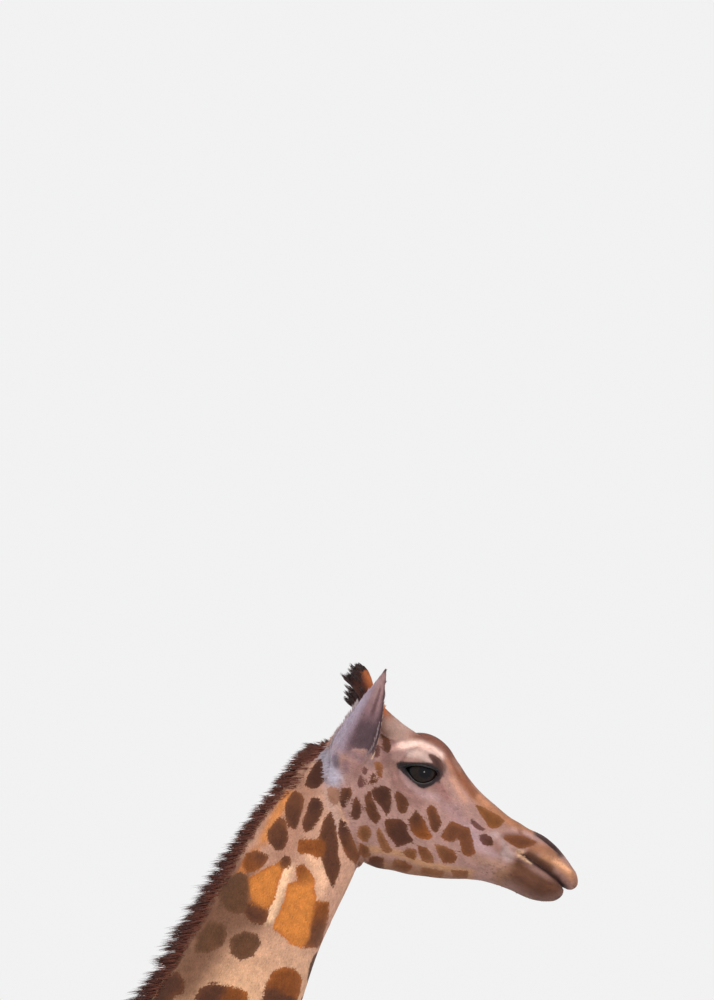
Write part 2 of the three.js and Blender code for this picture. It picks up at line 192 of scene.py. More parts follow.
# What fills the mouth between the lips, a crease's depth inside them.
LIPS = [
    (290, 0, -20, 34, 30, 30, 0),
    (334, 0, -14, 38, 16, 16, 0),
    (371, 0, -13, 37, 14, 14, 0),
    (415, 0, -22, 34, 13, 13, 0),
    (449, 0, -29, 24, 9, 9, 0),
]
OSSICONE = [
    (128, 42, 78, 18, 22, 22, 0),
    (92, 45, 96, 20, 24, 26, 0),
    (48, 50, 110, 19, 20, 22, 0),
    (1, 56, 130, 17, 17, 18, 0),
    (-30, 62, 155, 18, 19, 18, 0),
    (-51, 66, 174, 22, 24, 20, 0),
    (-69, 69, 184, 14, 16, 14, 0),
]
EAR_BASE = np.array([-6.0, 60.0, 0.0])
EAR_TIP = np.array([-8.0, 128.0, 194.0])
EAR_FACING = np.array([0.36, 0.93, 0.0])  # the way the cup of the left ear opens
EAR_FRONT = [(0, 26), (0.24, 37), (0.36, 37), (0.52, 31), (0.72, 20), (0.87, 10), (1, 2)]
EAR_BACK = [(0, 33), (0.12, 44), (0.24, 46), (0.36, 41), (0.52, 33), (0.72, 21), (0.87, 10), (1, 2)]
EAR_DEPTHS = [(0, 26), (0.3, 24), (0.7, 12), (1, 3)]
EAR_THICKNESS = 9
EAR_ROOT = [(-42, 66, 62), (-44, 62, 28), (-34, 60, 0), (-16, 60, -22)]  # the fold behind its foot
EYE = np.array([130.0, 63.0, 52.0])
EYE_RADIUS = 34
LID = 4.5
# The lids' edges from corner to corner, ahead of and above the eye's centre.
UPPER_LID = [(-30, -6), (-12, 4), (8, 9), (25, 12), (31, 7)]
LOWER_LID = [(31, 7), (27, -9), (14, -22), (-2, -25), (-18, -18), (-30, -6)]
NOSTRIL = [(372, 24, 43), (392, 27, 40), (412, 28, 34), (428, 25, 26)]  # its edge, where no coat grows
NOSTRIL_BORE = [(372, 24, 43), (392, 24, 38), (412, 25, 32), (428, 24, 25)]
NOSTRIL_RADII = [3, 6, 6.5, 3]
MOUTH = [(334, -10), (371, -8), (415, -17), (449, -27), (470, -27)]
# The head's rounded masses: centre, radii, and turn about the animal's width.
BROW = ((120, 50, 60), (62, 46, 46), 0.1)
EAR_FOOT = ((-8, 42, 8), (44, 34, 48))
FOREHEAD = ((120, 0, 104), (52, 46, 39), 0.2)
THROAT_HOLLOW = 16  # how much the skin draws in behind the jaw
THROAT_LEVELS = (2350, 2610, 2800)  # where the hollow begins, is deepest and ends
MANE_HEIGHTS = (38, 30)  # along the neck, and at its top
MANE_HALF_WIDTH = 17
MANE_ROOT, MANE_TAPER = 16, 0.6
MANE_POLL = [(-58, 44), (-40, 60)]  # where the mane runs on over the poll, in the head's u and w
MANE_CLUMP = 12

# ---- Curves and frames ----


def unit(vectors):
    """Vectors over their lengths."""
    return vectors / np.maximum(np.linalg.norm(vectors, axis=-1, keepdims=True), 1e-9)


def lerp(a, b, t):
    """The value at the share t of the way from a to b."""
    return a + (b - a) * t


def through(at, values, t):
    """Cubic pieces through the values at their places, each end with the slope between its neighbours."""
    at, values, t = (np.asarray(a, float) for a in (at, values, t))
    values = values.reshape(len(at), -1)
    index = np.arange(len(at))
    before, after = np.maximum(index - 1, 0), np.minimum(index + 1, len(at) - 1)
    slope = (values[after] - values[before]) / (at[after] - at[before])[:, None]
    i = np.searchsorted(at[1:-1], t)
    span = (at[i + 1] - at[i])[:, None]
    s = np.clip((t - at[i])[:, None] / span, 0, 1)
    return (
        (2 * s**3 - 3 * s**2 + 1) * values[i]
        + (s**3 - 2 * s**2 + s) * span * slope[i]
        + (3 * s**2 - 2 * s**3) * values[i + 1]
        + (s**3 - s**2) * span * slope[i + 1]
    )


def hill(low, top, high, value):
    """A smooth hill that rises from 0 at low to 1 at the top and is 0 again at high."""
    t = np.clip(np.minimum((value - low) / (top - low), (high - value) / (high - top)), 0, 1)
    return t * t * (3 - 2 * t)


def profile(pairs, t):
    """The height at t of the smooth curve through (place, height) pairs."""
    return through([p[0] for p in pairs], [p[1] for p in pairs], t)[:, 0]


def from_head(points):
    """Head frame to the animal's: x = poll + u cos d + w sin d, z = poll - u sin d + w cos d."""
    u, v, w = np.moveaxis(np.asarray(points, float), -1, 0)
    c, s = math.cos(HEAD_DROP), math.sin(HEAD_DROP)
    return np.stack([POLL[0] + u * c + w * s, v, POLL[2] - u * s + w * c], -1)


def to_head(points):
    """The animal's frame to the head's, from_head undone."""
    x, y, z = np.moveaxis(np.asarray(points, float), -1, 0)
    c, s = math.cos(HEAD_DROP), math.sin(HEAD_DROP)
    x, z = x - POLL[0], z - POLL[2]
    return np.stack([x * c - z * s, y, x * s + z * c], -1)


def turned_from_head(vectors):
    """Directions of the head's frame in the animal's: turned, not moved."""
    return from_head(vectors) - POLL


SHIFT = from_head(EYE) - sum(np.array(corner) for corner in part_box("eye_left")) / 2 * 1000


def metres(points):
    """The animal's millimetres to the frame's metres."""
    return (np.asarray(points) - SHIFT) / 1000


def way_along(path):
    """The length of the way from a path's first point to each."""
    steps = np.linalg.norm(np.diff(path, axis=0), axis=1)
    return np.concatenate([[0], np.cumsum(steps)])


def grid_of(along, around):
    """A grid's two parameters: each value along it, with so many even angles round it."""
    angle = np.arange(around) * 2 * math.pi / around
    return [each.ravel() for each in np.meshgrid(along, angle, indexing="ij")]


class Body:
    """A form swept through the rows of a plan, with its width across the animal.

    At s along the path and angle a round it, a point is centre(s) + side * width * |cos a|^p *
    (1 - taper * sin a) + up * reach * |sin a|^p, with p 1 above and 0.85 below, and all of it shrinks
    as a quarter of an ellipse towards a rounded end.
    """

    def __init__(self, rows, caps=(0, 0), normal=None, head=False, side=1):
        self.rows = np.array(rows, float)
        self.rows[:, 1] *= side
        self.caps, self.normal, self.head = caps, normal, head
        self.at = way_along(self.rows[:, :3])
        self.length = self.at[-1]

    def values(self, s):
        """The plan's row at each s: centre, half width, reaches and taper."""
        return through(self.at, self.rows, np.clip(s, 0, self.length))

    def axes(self, s):
        """Centre, tangent, side and up at each s, in the plan's own frame."""
        centre = self.values(s)[:, :3]
        if self.normal is None:
            tangent = unit(self.values(s + 1)[:, :3] - self.values(s - 1)[:, :3])
        else:
            tangent = np.tile(np.array(self.normal, float), (len(centre), 1))
        side = unit(np.array([0.0, 1.0, 0.0]) - tangent * tangent[:, 1:2])
        return centre, tangent, side, np.cross(tangent, side)

    def surface(self, s, angle, grow=0.0):
        """Points at s along and angle round, the section grown outwards by so many millimetres."""
        centre, _, side, up = self.axes(s)
        _, _, _, width, rise, fall, taper = self.values(s).T
        size = np.ones(len(s))
        for depth, cap in ((s, self.caps[0]), (self.length - s, self.caps[1])):
            if cap:
                inside = np.clip(1 - depth / cap, 0, 1)
                size *= np.sqrt(np.maximum(1 - inside**2, 0.02))
        c, q = np.cos(angle), np.sin(angle)
        power = np.where(q < 0, 0.85, 1.0)
        across = np.sign(c) * np.abs(c) ** power * (width * size + grow) * (1 - taper * q)
        reach = np.where(q < 0, fall, rise) * size + grow
        lift = np.sign(q) * np.abs(q) ** power * reach
        points = centre + side * across[:, None] + up * lift[:, None]
        return from_head(points) if self.head else points

    def grid(self, along, around):
        """The whole surface as a closed grid, its sections crowded towards rounded ends."""
        even = np.linspace(0, 1, along)
        eased = (1 - np.cos(math.pi * even)) / 2
        s, angle = grid_of(self.length * (lerp(even, eased, 0.6) if max(self.caps) else even), around)
        return tube(self.surface(s, angle).reshape(along, around, 3))


def tube(rings):
    """A closed surface from a grid of rings: quads between rings and a fan over each end."""
    along, around = rings.shape[:2]
    row, column = np.indices((along - 1, around))
    after = (column + 1) % around
    corners = [row * around + column, row * around + after]
    corners += [corners[1] + around, corners[0] + around]
    quads = np.stack(corners, -1).reshape(-1, 4)
    hubs = np.stack([rings[0].mean(0), rings[-1].mean(0)])
    first = np.arange(around)
    last = first + (along - 1) * around
    start_hub, end_hub = along * around, along * around + 1
    fans = np.concatenate(
        [
            np.stack([np.roll(first, -1), first, np.full(around, start_hub)], -1),
            np.stack([last, np.roll(last, -1), np.full(around, end_hub)], -1),
        ]
    )
    return np.concatenate([rings.reshape(-1, 3), hubs]), quads, fans


def ball(centre, radii, turn=0.0):
    """An ellipsoid on the head: centre + radii * (cos a cos b, sin a cos b, sin b), turned about v."""
    along, around, pole = 24, 40, 0.04
    b, a = grid_of(np.linspace(-math.pi / 2 + pole, math.pi / 2 - pole, along), around)
    shape = np.stack([np.cos(a) * np.cos(b), np.sin(a) * np.cos(b), np.sin(b)], -1)
    x, y, z = np.moveaxis(shape * np.array(radii, float), -1, 0)
    c, s = math.cos(turn), math.sin(turn)
    points = np.stack([x * c + z * s, y, z * c - x * s], -1) + np.array(centre, float)
    return tube(from_head(points).reshape(along, around, 3))


def mirrored(surface):
    """The same surface on the animal's other side, its faces turned back outwards."""
    points, quads, triangles = surface
    return points * [1, -1, 1], quads[:, ::-1], triangles[:, ::-1]


def leg_rows(rows, side, forward):
    """A leg's plan on its side, leaning so that its hoof stands forward or back of square.

    A row at height z moves by forward * (1 - z / the height it leans from), and none above that.
    """
    leans = [forward * max(0, 1 - row[2] / LEG_LEANS_FROM) for row in rows]
    return [(x + lean, side * y, z, *rest) for lean, (x, y, z, *rest) in zip(leans, rows)]


def neck_rows():
    """The neck's plan, its reach down less the throat's hollow times a hill of the height."""
    hollows = [THROAT_HOLLOW * hill(*THROAT_LEVELS, row[2]) for row in NECK]
    return [(*row[:5], row[5] - hollow, row[6]) for row, hollow in zip(NECK, hollows)]


def mane_rows(height, half_width, poll=()):
    """The mane's ridge on the crest of the neck, from the withers to between the ears or over the poll."""
    rows = np.array(NECK[1:], float)
    run = unit(np.gradient(rows[:, [0, 2]], axis=0))
    crest = rows[:, [0, 2]] + np.stack([-run[:, 1], run[:, 0]], -1) * rows[:, 4:5]
    heights = np.full(len(crest), MANE_HEIGHTS[0])
    heights[-2:] = MANE_HEIGHTS[1]
    over_poll = [from_head((u, 0, w))[[0, 2]] for u, w in poll]
    heights = [*heights[1:], *[MANE_HEIGHTS[1] * 0.8 for _ in poll]]
    ridge = zip([*crest[1:], *over_poll], heights)
    return [(x, 0, z, half_width, h * height, MANE_ROOT, MANE_TAPER) for (x, z), h in ridge]


EAR_AXIS = EAR_TIP - EAR_BASE
EAR_OPENING = unit(EAR_FACING - unit(EAR_AXIS) * (EAR_FACING @ unit(EAR_AXIS)))
EAR_ACROSS = np.cross(unit(EAR_AXIS), EAR_OPENING)


def ear_point(t, a, depth):
    """The left ear at t from root to tip and a across (-1 back edge, 1 front), depth into its wall.

    It is a leaf bent round its long axis: base + axis t - width a h(t) + open (bend (a^2 - 1/2) + depth).
    """
    across = -a * np.where(a < 0, profile(EAR_BACK, t), profile(EAR_FRONT, t))
    bend = profile(EAR_DEPTHS, t) * (a * a - 0.5) + depth
    points = EAR_BASE + EAR_AXIS * t[:, None] + EAR_ACROSS * across[:, None] + EAR_OPENING * bend[:, None]
    return from_head(points)


def ear_surface():
    """Outer and inner skin of the ear as rings round its wall, with a rounded rim."""
    along, around, sunk = 90, 64, 0.12
    t, turn = grid_of(np.linspace(-sunk, 1, along), around)
    a = -np.cos(turn)
    wall = EAR_THICKNESS * lerp(1, 0.66, np.clip(t, 0, 1))
    depth = np.sqrt(np.abs(np.sin(turn))) * np.sign(np.sin(turn)) * wall / 2 + 3
    return tube(ear_point(t, a, depth).reshape(along, around, 3))


# ---- Swollen space ----

# The flesh is joined on one even grid of cells in a space that swells towards the head and the feet,
# so that its facets are a few millimetres there and a centimetre on the trunk.
CELL = 11.0
BAND = 9  # how many cells on each side of the surface keep their distance to it
HEAD_SWELL = 5.2
# At each level: how far the space is swollen, where its middle line runs, and their sums up to there.
LEVEL = np.arange(-200.0, 3400.0)
SWELL = np.interp(LEVEL, [700, 1000, 2150, 2610], [1.35, 1.0, 1.0, HEAD_SWELL])
AXIS_LEVELS = [1560, 1800, 2100, 2280, 2460, 2600, 2735, 2900]
AXIS = np.interp(LEVEL, AXIS_LEVELS, [440, 440, 635, 740, 835, 903, 963, 963])
RISEN = np.concatenate([[0], np.cumsum(SWELL[:-1])])
DRIFT = np.concatenate([[0], np.cumsum(SWELL[:-1] * np.diff(AXIS))])


def swollen(points):
    """(x, y, z) to (drift(z) + swell(z) (x - axis(z)), swell(z) y, sum of swell up to z)."""
    x, y, z = np.moveaxis(points, -1, 0)
    swell = np.interp(z, LEVEL, SWELL)
    x = np.interp(z, LEVEL, DRIFT) + swell * (x - np.interp(z, LEVEL, AXIS))
    return np.stack([x, swell * y, np.interp(z, LEVEL, RISEN)], -1)


def shrunk(points):
    """The swollen space back to the animal's, swollen undone."""
    x, y, z = np.moveaxis(points, -1, 0)
    z = np.interp(z, RISEN, LEVEL)
    swell = np.interp(z, LEVEL, SWELL)
    x = (x - np.interp(z, LEVEL, DRIFT)) / swell + np.interp(z, LEVEL, AXIS)
    return np.stack([x, y / swell, z], -1)


class Clay:
    """Flesh as distances to its surface on a grid of cells, below zero inside, joined form by form."""

    def __init__(self, forms):
        ends = [swollen(points) for points, _, _ in forms]
        low = np.min([p.min(0) for p in ends], axis=0)
        high = np.max([p.max(0) for p in ends], axis=0)
        self.low = np.floor(low / CELL).astype(int) - BAND - 3
        size = np.ceil(high / CELL).astype(int) + BAND + 3 - self.low
        self.full = np.float32(BAND * CELL)
        self.field = np.full(size, self.full, np.float32)
        heights = np.interp((self.low[2] + np.arange(size[2])) * CELL, RISEN, LEVEL)
        self.swell = np.interp(heights, LEVEL, SWELL).astype(np.float32)

    def cells(self, surface, inset):
        """Where a surface lies on the grid, and its distances there, moved inwards by the inset."""
        points, quads, triangles = surface
        grid = openvdb.FloatGrid.createLevelSetFromPolygons(
            np.ascontiguousarray(swollen(points), np.float32),
            triangles=np.ascontiguousarray(triangles, np.uint32),
            quads=np.ascontiguousarray(quads, np.uint32),
            transform=openvdb.createLinearTransform(CELL),
            halfWidth=float(BAND),
        )
        start, end = (np.array(c) for c in grid.evalActiveVoxelBoundingBox())
        start, end = np.maximum(start, self.low), np.minimum(end + 1, self.low + self.field.shape)
        block = np.empty(end - start, np.float32)
        grid.copyToArray(block, ijk=tuple(int(i) for i in start))
        where = tuple(slice(a, b) for a, b in zip(start - self.low, end - self.low))
        return where, np.clip(block + inset * self.swell[where[2]], -self.full, self.full)

    def settle(self, where, values, near):
        """Cells beyond the band keep its full distance, so that blends don't creep outwards."""
        values = np.clip(values, -self.full, self.full)
        self.field[where] = np.where(np.abs(near) > self.full * 0.97, np.sign(near) * self.full, values)

    def add(self, surface, blend, inset):
        """Joins a form: min(a, b) - h^2 / 4k, h = max(k - |a - b|, 0), a fillet about as wide as blend."""
        where, part = self.cells(surface, inset)
        here = self.field[where]
        k = np.maximum(blend * self.swell[where[2]], 1e-3)
        h = np.maximum(k - np.abs(here - part), 0)
        near = np.minimum(here, part)
        self.settle(where, near - h * h / (4 * k), near)

    def take(self, surface, blend):
        """Hollows a form out: max(a, -b) + h^2 / 4k."""
        where, part = self.cells(surface, 0)
        here = self.field[where]
        k = np.maximum(blend * self.swell[where[2]], 1e-3)
        h = np.maximum(k - np.abs(here + part), 0)
        near = np.maximum(here, -part)
        self.settle(where, near + h * h / (4 * k), near)

    def surface(self):
        """Points and quads of the surface where the distance is 0."""
        grid = openvdb.FloatGrid(float(self.full))
        grid.copyFromArray(self.field, ijk=tuple(int(i) for i in self.low))
        grid.transform = openvdb.createLinearTransform(CELL)
        points, quads = grid.convertToQuads(0.0)
        return shrunk(points.astype(float)), quads.astype(int)


# ---- The flesh ----

trunk = Body(TRUNK, (50, 60), (1, 0, 0))
neck = Body(neck_rows(), (30, 40))
legs = {name: Body(leg_rows(rows, side, forward), (60, 0)) for name, rows, side, forward in LEGS}
tail = Body(TAIL, (20, 12))
skull = Body(SKULL, (30, 14), (1, 0, 0), head=True)
jaw = Body(JAW, (20, 14), (1, 0, 0), head=True)
ossicones = [Body(OSSICONE, (10, 16), head=True, side=side) for side in (1, -1)]
ridge = Body(mane_rows(0.35, 10), (60, 30))
crest = Body(mane_rows(1, MANE_HALF_WIDTH, MANE_POLL), (60, 20))


def eye_opening():
    """The gap between the lids, pushed through them from 8 mm off the eye's centre to 70."""
    around, nearest, farthest = 96, 8, 70
    closed = np.array(LOWER_LID[:-1] + UPPER_LID, float)
    at = way_along(closed)
    ahead, above = through(at, closed, np.linspace(0, at[-1], around + 1)[:-1]).T
    depths = np.linspace(nearest, farthest, 12)
    rings = [np.stack([ahead, np.full(around, depth), above], -1) + EYE for depth in depths]
    return tube(from_head(np.array(rings)))


def rod(path, radii):
    """A round rod along a path in the head's frame, its radius given at each point."""
    rows = [(u, v, w, r, r, r, 0) for (u, v, w), r in zip(path, radii)]
    return Body(rows, (radii[0], radii[-1]), head=True).grid(40, 24)


def both(surface):
    """A surface of the left side, and its mirror image."""
    return [surface, mirrored(surface)]


def flesh():
    """The skin before its folds: forms joined one after another, then the hollows taken out."""
    forms = [
        # surface, how wide a fillet joins it, and how much thinner it is for the coat on it
        (trunk.grid(90, 120), 0, 3.5),
        (neck.grid(120, 96), 60, 3),
        (tail.grid(60, 32), 20, 1.5),
        (ridge.grid(80, 32), 8, 0),
        *[(leg.grid(140, 64), 45, 2.5) for leg in legs.values()],
        (skull.grid(220, 128), 22, 0.5),
        (jaw.grid(90, 96), 5, 0.5),
        (Body(LIPS, (12, 10), (1, 0, 0), head=True).grid(90, 64), 4, 0),
        *[(s, 12, 1.8) for s in both(ball(*BROW))],
        *[(s, 14, 1.8) for s in both(ball(*EAR_FOOT))],
        *[(s, 14, 1) for s in both(rod(EAR_ROOT, [7, 11, 11, 8]))],
        (ball(*FOREHEAD), 14, 1.8),
        *[(s, 7, 0.6) for s in both(ball(EYE, [EYE_RADIUS + LID + 0.6] * 3))],
        *[(body.grid(80, 40), 12, 1.2) for body in ossicones],
        *[(s, 12, 0.3) for s in both(ear_surface())],
    ]
    clay = Clay([surface for surface, _, _ in forms])
    for surface, blend, inset in forms:
        clay.add(surface, blend, inset)
    hollows = [
        (ball(EYE, [EYE_RADIUS + 0.4] * 3), 0.5),
        (eye_opening(), 2.5),
        (rod(NOSTRIL_BORE, NOSTRIL_RADII), 4),
    ]
    for surface, blend in hollows:
        for side in both(surface):
            clay.take(side, blend)
    return clay.surface()


points, quads = flesh()


def smoothed(points, edges, times, strength=0.5, back=-0.53):
    """Evens out a mesh without shrinking it: each point moves towards its neighbours' mean, then back."""
    count = np.bincount(edges.ravel(), minlength=len(points))[:, None]
    for step in [strength, back] * times:
        total = np.stack(
            [
                np.bincount(edges[:, 0], points[edges[:, 1], k], len(points))
                + np.bincount(edges[:, 1], points[edges[:, 0], k], len(points))
                for k in range(points.shape[1])
            ],
            -1,
        )
        points = points + step * (total / np.maximum(count, 1) - points)
    return points


def edges_of(faces):
    """Each pair of points that share a side of a face, once."""
    corners = faces.shape[1]
    pairs = np.concatenate([faces[:, [i, (i + 1) % corners]] for i in range(corners)])
    return np.unique(np.sort(pairs, axis=1), axis=0)


def make_mesh(name, points, faces, material=None, smooth=True):
    """A mesh object from points in metres and one or more arrays of faces."""
    faces = faces if isinstance(faces, list) else [faces]
    mesh = bpy.data.meshes.new(name)
    mesh.vertices.add(len(points))
    mesh.vertices.foreach_set("co", np.ascontiguousarray(points, np.float32).ravel())
    sizes = np.concatenate([np.full(len(f), f.shape[1]) for f in faces])
    mesh.loops.add(int(sizes.sum()))
    mesh.loops.foreach_set("vertex_index", np.concatenate([f.ravel() for f in faces]).astype(np.int32))
    mesh.polygons.add(len(sizes))
    mesh.polygons.foreach_set("loop_start", np.concatenate([[0], np.cumsum(sizes)[:-1]]).astype(np.int32))
    mesh.polygons.foreach_set("use_smooth", np.full(len(sizes), smooth))
    mesh.update(calc_edges=True)
    mesh.validate()
    piece = bpy.data.objects.new(name, mesh)
    bpy.context.scene.collection.objects.link(piece)
    if material:
        mesh.materials.append(material)
    return piece


def decimated(piece, triangles):
    """Thins a mesh to so many triangles, most where it is flattest, and returns its points and faces."""
    thin = piece.modifiers.new("thin", "DECIMATE")
    thin.ratio = triangles / (2 * len(piece.data.polygons))
    thin.use_collapse_triangulate = True
    mesh = piece.evaluated_get(bpy.context.evaluated_depsgraph_get()).to_mesh()
    mesh.calc_loop_triangles()
    points = np.empty(len(mesh.vertices) * 3)
    faces = np.empty(len(mesh.loop_triangles) * 3, np.int32)
    mesh.vertices.foreach_get("co", points)
    mesh.loop_triangles.foreach_get("vertices", faces)
    bpy.data.meshes.remove(piece.data)
    return points.reshape(-1, 3), faces.reshape(-1, 3)


def normals_of(points, faces):
    """Unit normals at the points: the sum of the cross products of the faces round each."""
    a, b, c = (points[faces[:, k]] for k in range(3))
    cross = np.cross(b - a, c - a)
    total = np.zeros_like(points)
    for k in range(3):
        for axis in range(3):
            total[:, axis] += np.bincount(faces[:, k], cross[:, axis], len(points))
    return unit(total)


def distance_to_path(points, path):
    """How far each point is from a line of straight pieces, in as many dimensions as it has."""
    path = np.array(path, float)
    nearest = np.full(len(points), np.inf)
    for a, b in zip(path[:-1], path[1:]):
        run = b - a
        t = np.clip((points - a) @ run / (run @ run), 0, 1)
        nearest = np.minimum(nearest, np.linalg.norm(points - a - t[:, None] * run, axis=1))
    return nearest


# Folds of the face's skin: height in millimetres, below zero a crease, half width, and the path in the
# head's u and w.
FOLDS = [
    (-2.4, 4.5, [(92, 52), (95, 72), (108, 88), (129, 95), (150, 89), (164, 76)]),
    (1.6, 7, [(82, 60), (86, 84), (106, 102), (132, 106), (158, 96)]),
    (-1.3, 3.5, [(90, 40), (102, 20), (128, 11), (154, 19), (168, 36)]),
    (-0.9, 4, [(80, 30), (102, 4), (134, -5), (166, 8)]),
    (-1.5, 3, [(162, 60), (172, 50), (186, 38)]),
    (1.5, 9, [(160, 22), (200, 14), (244, 8)]),
    (-1.6, 8, [(84, -112), (130, -108), (180, -96), (240, -84)]),
    (-3.5, 12, [(58, -122), (44, -96), (28, -64)]),
    (-1.6, 4, [(331, -4), (326, -18), (334, -30)]),
    (1.3, 5, [(338, 4), (372, 3), (420, -6), (456, -16)]),
    (1.5, 5, [(362, 48), (392, 50), (414, 42), (432, 31)]),
    (-1.2, 5, [(364, 30), (392, 28), (418, 20)]),
    (1.2, 6, [(352, -28), (390, -32), (430, -34)]),
]


def folded(points, normals):
    """Raises or creases the face along its folds, as height * exp(-(distance / half width)^2)."""
    u, v, w = to_head(points).T
    face = (u > 0) & (u < 480) & (np.abs(v) > 14)
    flat = np.stack([u, w], -1)[face]
    height = 0
    for rise, width, path in FOLDS:
        height += rise * np.exp(-((distance_to_path(flat, path) / width) ** 2))
    socket = np.linalg.norm(np.abs(to_head(points[face])) - EYE, axis=1) < EYE_RADIUS + 2
    points[face] += normals[face] * np.where(socket, 0, height)[:, None]
    return points


SKIN_TRIANGLES = 190000

points = smoothed(points, edges_of(quads), 4)
quads = quads[:, ::-1]
halves = np.concatenate([quads[:, :3], quads[:, [0, 2, 3]]])
points = folded(points, normals_of(points, halves))
points, faces = decimated(make_mesh("rough_skin", points, quads), SKIN_TRIANGLES)
normals = normals_of(points, faces)

# ---- Where a point of the skin lies ----


class Place:
    """Each point's body, place along and angle round it, and the way the hair lies there.

    A point's body is the one whose surface is nearest, a jaw counting as further off and the ear's leaf
    only near itself. The lie is the sum of the bodies' runs, each times exp(-gap / 16), laid on the skin.
    """

    def __init__(self, points, normals):
        count = len(points)
        self.body = np.zeros(count, int)
        self.along = np.zeros(count)
        self.angle = np.zeros(count)
        nearest = np.full(count, np.inf)
        lie = np.zeros((count, 3))
        for index, (name, body, flow) in enumerate(BODIES):
            s, angle, gap, run = locate(body, points)
            gap = gap + (8 if name.startswith("jaw") else 0)
            closer = gap < nearest
            nearest = np.where(closer, gap, nearest)
            self.body[closer] = index
            self.along[closer], self.angle[closer] = s[closer], angle[closer]
            lie += flow * run * np.exp(-gap / 16)[:, None]
        for side in (1, -1):
            t, a, depth = locate_ear(points * [1, side, 1])
            gap = np.abs(depth) + 60 * np.maximum(0, np.abs(a) - 1.05) + 300 * np.maximum(0, 0.02 - t)
            closer = (gap < np.minimum(nearest, 8)) & (t > 0.02)
            nearest = np.where(closer, gap, nearest)
            self.body[closer] = len(BODIES)
            self.along[closer] = t[closer]
            self.angle[closer] = np.where(depth > 0, a, 2 - a)[closer]
            run = unit(turned_from_head(EAR_AXIS)) * [1, side, 1]
            lie[closer] += 3 * run
        lie -= normals * (lie * normals).sum(1)[:, None]
        self.lie = unit(lie)

    def on(self, *names):
        """Which points are on any of the named bodies."""
        return np.isin(self.body, [NAMES.index(name) for name in names])


def locate(body, points):
    """Nearest place s along a body, angle round it, how far the point is off its surface, its run."""
    stations, block = 140, 20000
    own = to_head(points) if body.head else points
    s = np.linspace(0, body.length, stations)
    centre = body.values(s)[:, :3].astype(np.float32)
    nearest = np.empty(len(points), int)
    for start in range(0, len(points), block):
        some = own[start : start + block].astype(np.float32)
        gap = (centre**2).sum(1) - 2 * some @ centre.T
        nearest[start : start + block] = gap.argmin(1)
    s = s[nearest]
    centre, tangent, side, up = body.axes(s)
    off = own - centre
    ahead = (off * tangent).sum(1)
    inside = (s > 0) & (s < body.length)
    s = np.where(inside, np.clip(s + ahead, 0, body.length), s)
    across, lift = (off * side).sum(1), (off * up).sum(1)
    _, _, _, width, rise, fall, _ = body.values(s).T
    reach = np.where(lift < 0, fall, rise)
    ratio = np.hypot(across / width, lift / reach)
    gap = np.abs(ratio - 1) * np.hypot(across, lift) / np.maximum(ratio, 1e-6)
    gap = np.where(inside, gap, np.abs(ahead) + np.maximum(ratio - 1, 0) * width)
    run = turned_from_head(tangent) if body.head else tangent
    return s, np.arctan2(lift, across), gap, run


def locate_ear(points):
    """The left ear's t and a at each point, and how deep it lies towards the ear's open side."""
    own = to_head(points) - EAR_BASE
    t = own @ EAR_AXIS / (EAR_AXIS @ EAR_AXIS)
    forward = -(own @ EAR_ACROSS)
    leaf = np.clip(t, 0, 1)
    a = forward / np.where(forward < 0, profile(EAR_BACK, leaf), profile(EAR_FRONT, leaf))
    bend = profile(EAR_DEPTHS, leaf) * (np.minimum(a * a, 1.2) - 0.5)
    return t, a, own @ EAR_OPENING - bend - 3


BODIES = [
    # name, body, and which way its hair lies along it
    ("trunk", trunk, -1),
    ("neck", neck, -1),
    ("tail", tail, 1),
    ("skull", skull, -1),
    ("jaw", jaw, -1),
    *[(name, leg, 1) for name, leg in legs.items()],
    ("ossicone_left", ossicones[0], 1),
    ("ossicone_right", ossicones[1], 1),
]
NAMES = [name for name, _, _ in BODIES] + ["ear"]
HORNS = ("ossicone_left", "ossicone_right")
HEAD_PARTS = ("skull", "jaw", "ear", *HORNS)

place = Place(points, normals)

# ---- Markings ----


def tint(*colour):
    """A colour, or several, from 0 to 255 screen values to the linear values that materials use."""
    c = np.array(colour) / 255
    return np.where(c > 0.04045, ((c + 0.055) / 1.055) ** 2.4, c / 12.92)


def ease(low, high, value):
    """0 at low and 1 at high, and between them t^2 (3 - 2 t) of the share t of the way."""
    t = np.clip((value - low) / (high - low), 0, 1)
    return t * t * (3 - 2 * t)


def laid(colours, over, weight):
    """A screen colour laid over the points' colours by a weight at each."""
    return lerp(colours, tint(*over), weight[:, None])


WAVES = random.normal(size=(3, 9, 3))
PHASES = random.uniform(0, 2 * math.pi, (3, 9))


def wobble(points, scale):
    """A smooth wandering of up to about 1 in x, y and z: sums of nine sine waves over the points."""
    waves = [np.sin(points @ wave.T / scale + phase).sum(-1) / 4 for wave, phase in zip(WAVES, PHASES)]
    return np.stack(waves, -1)


def headward(points):
    """0 below the upper neck and 1 from where its small patches begin."""
    return ease(2300, 2560, points[:, 2])


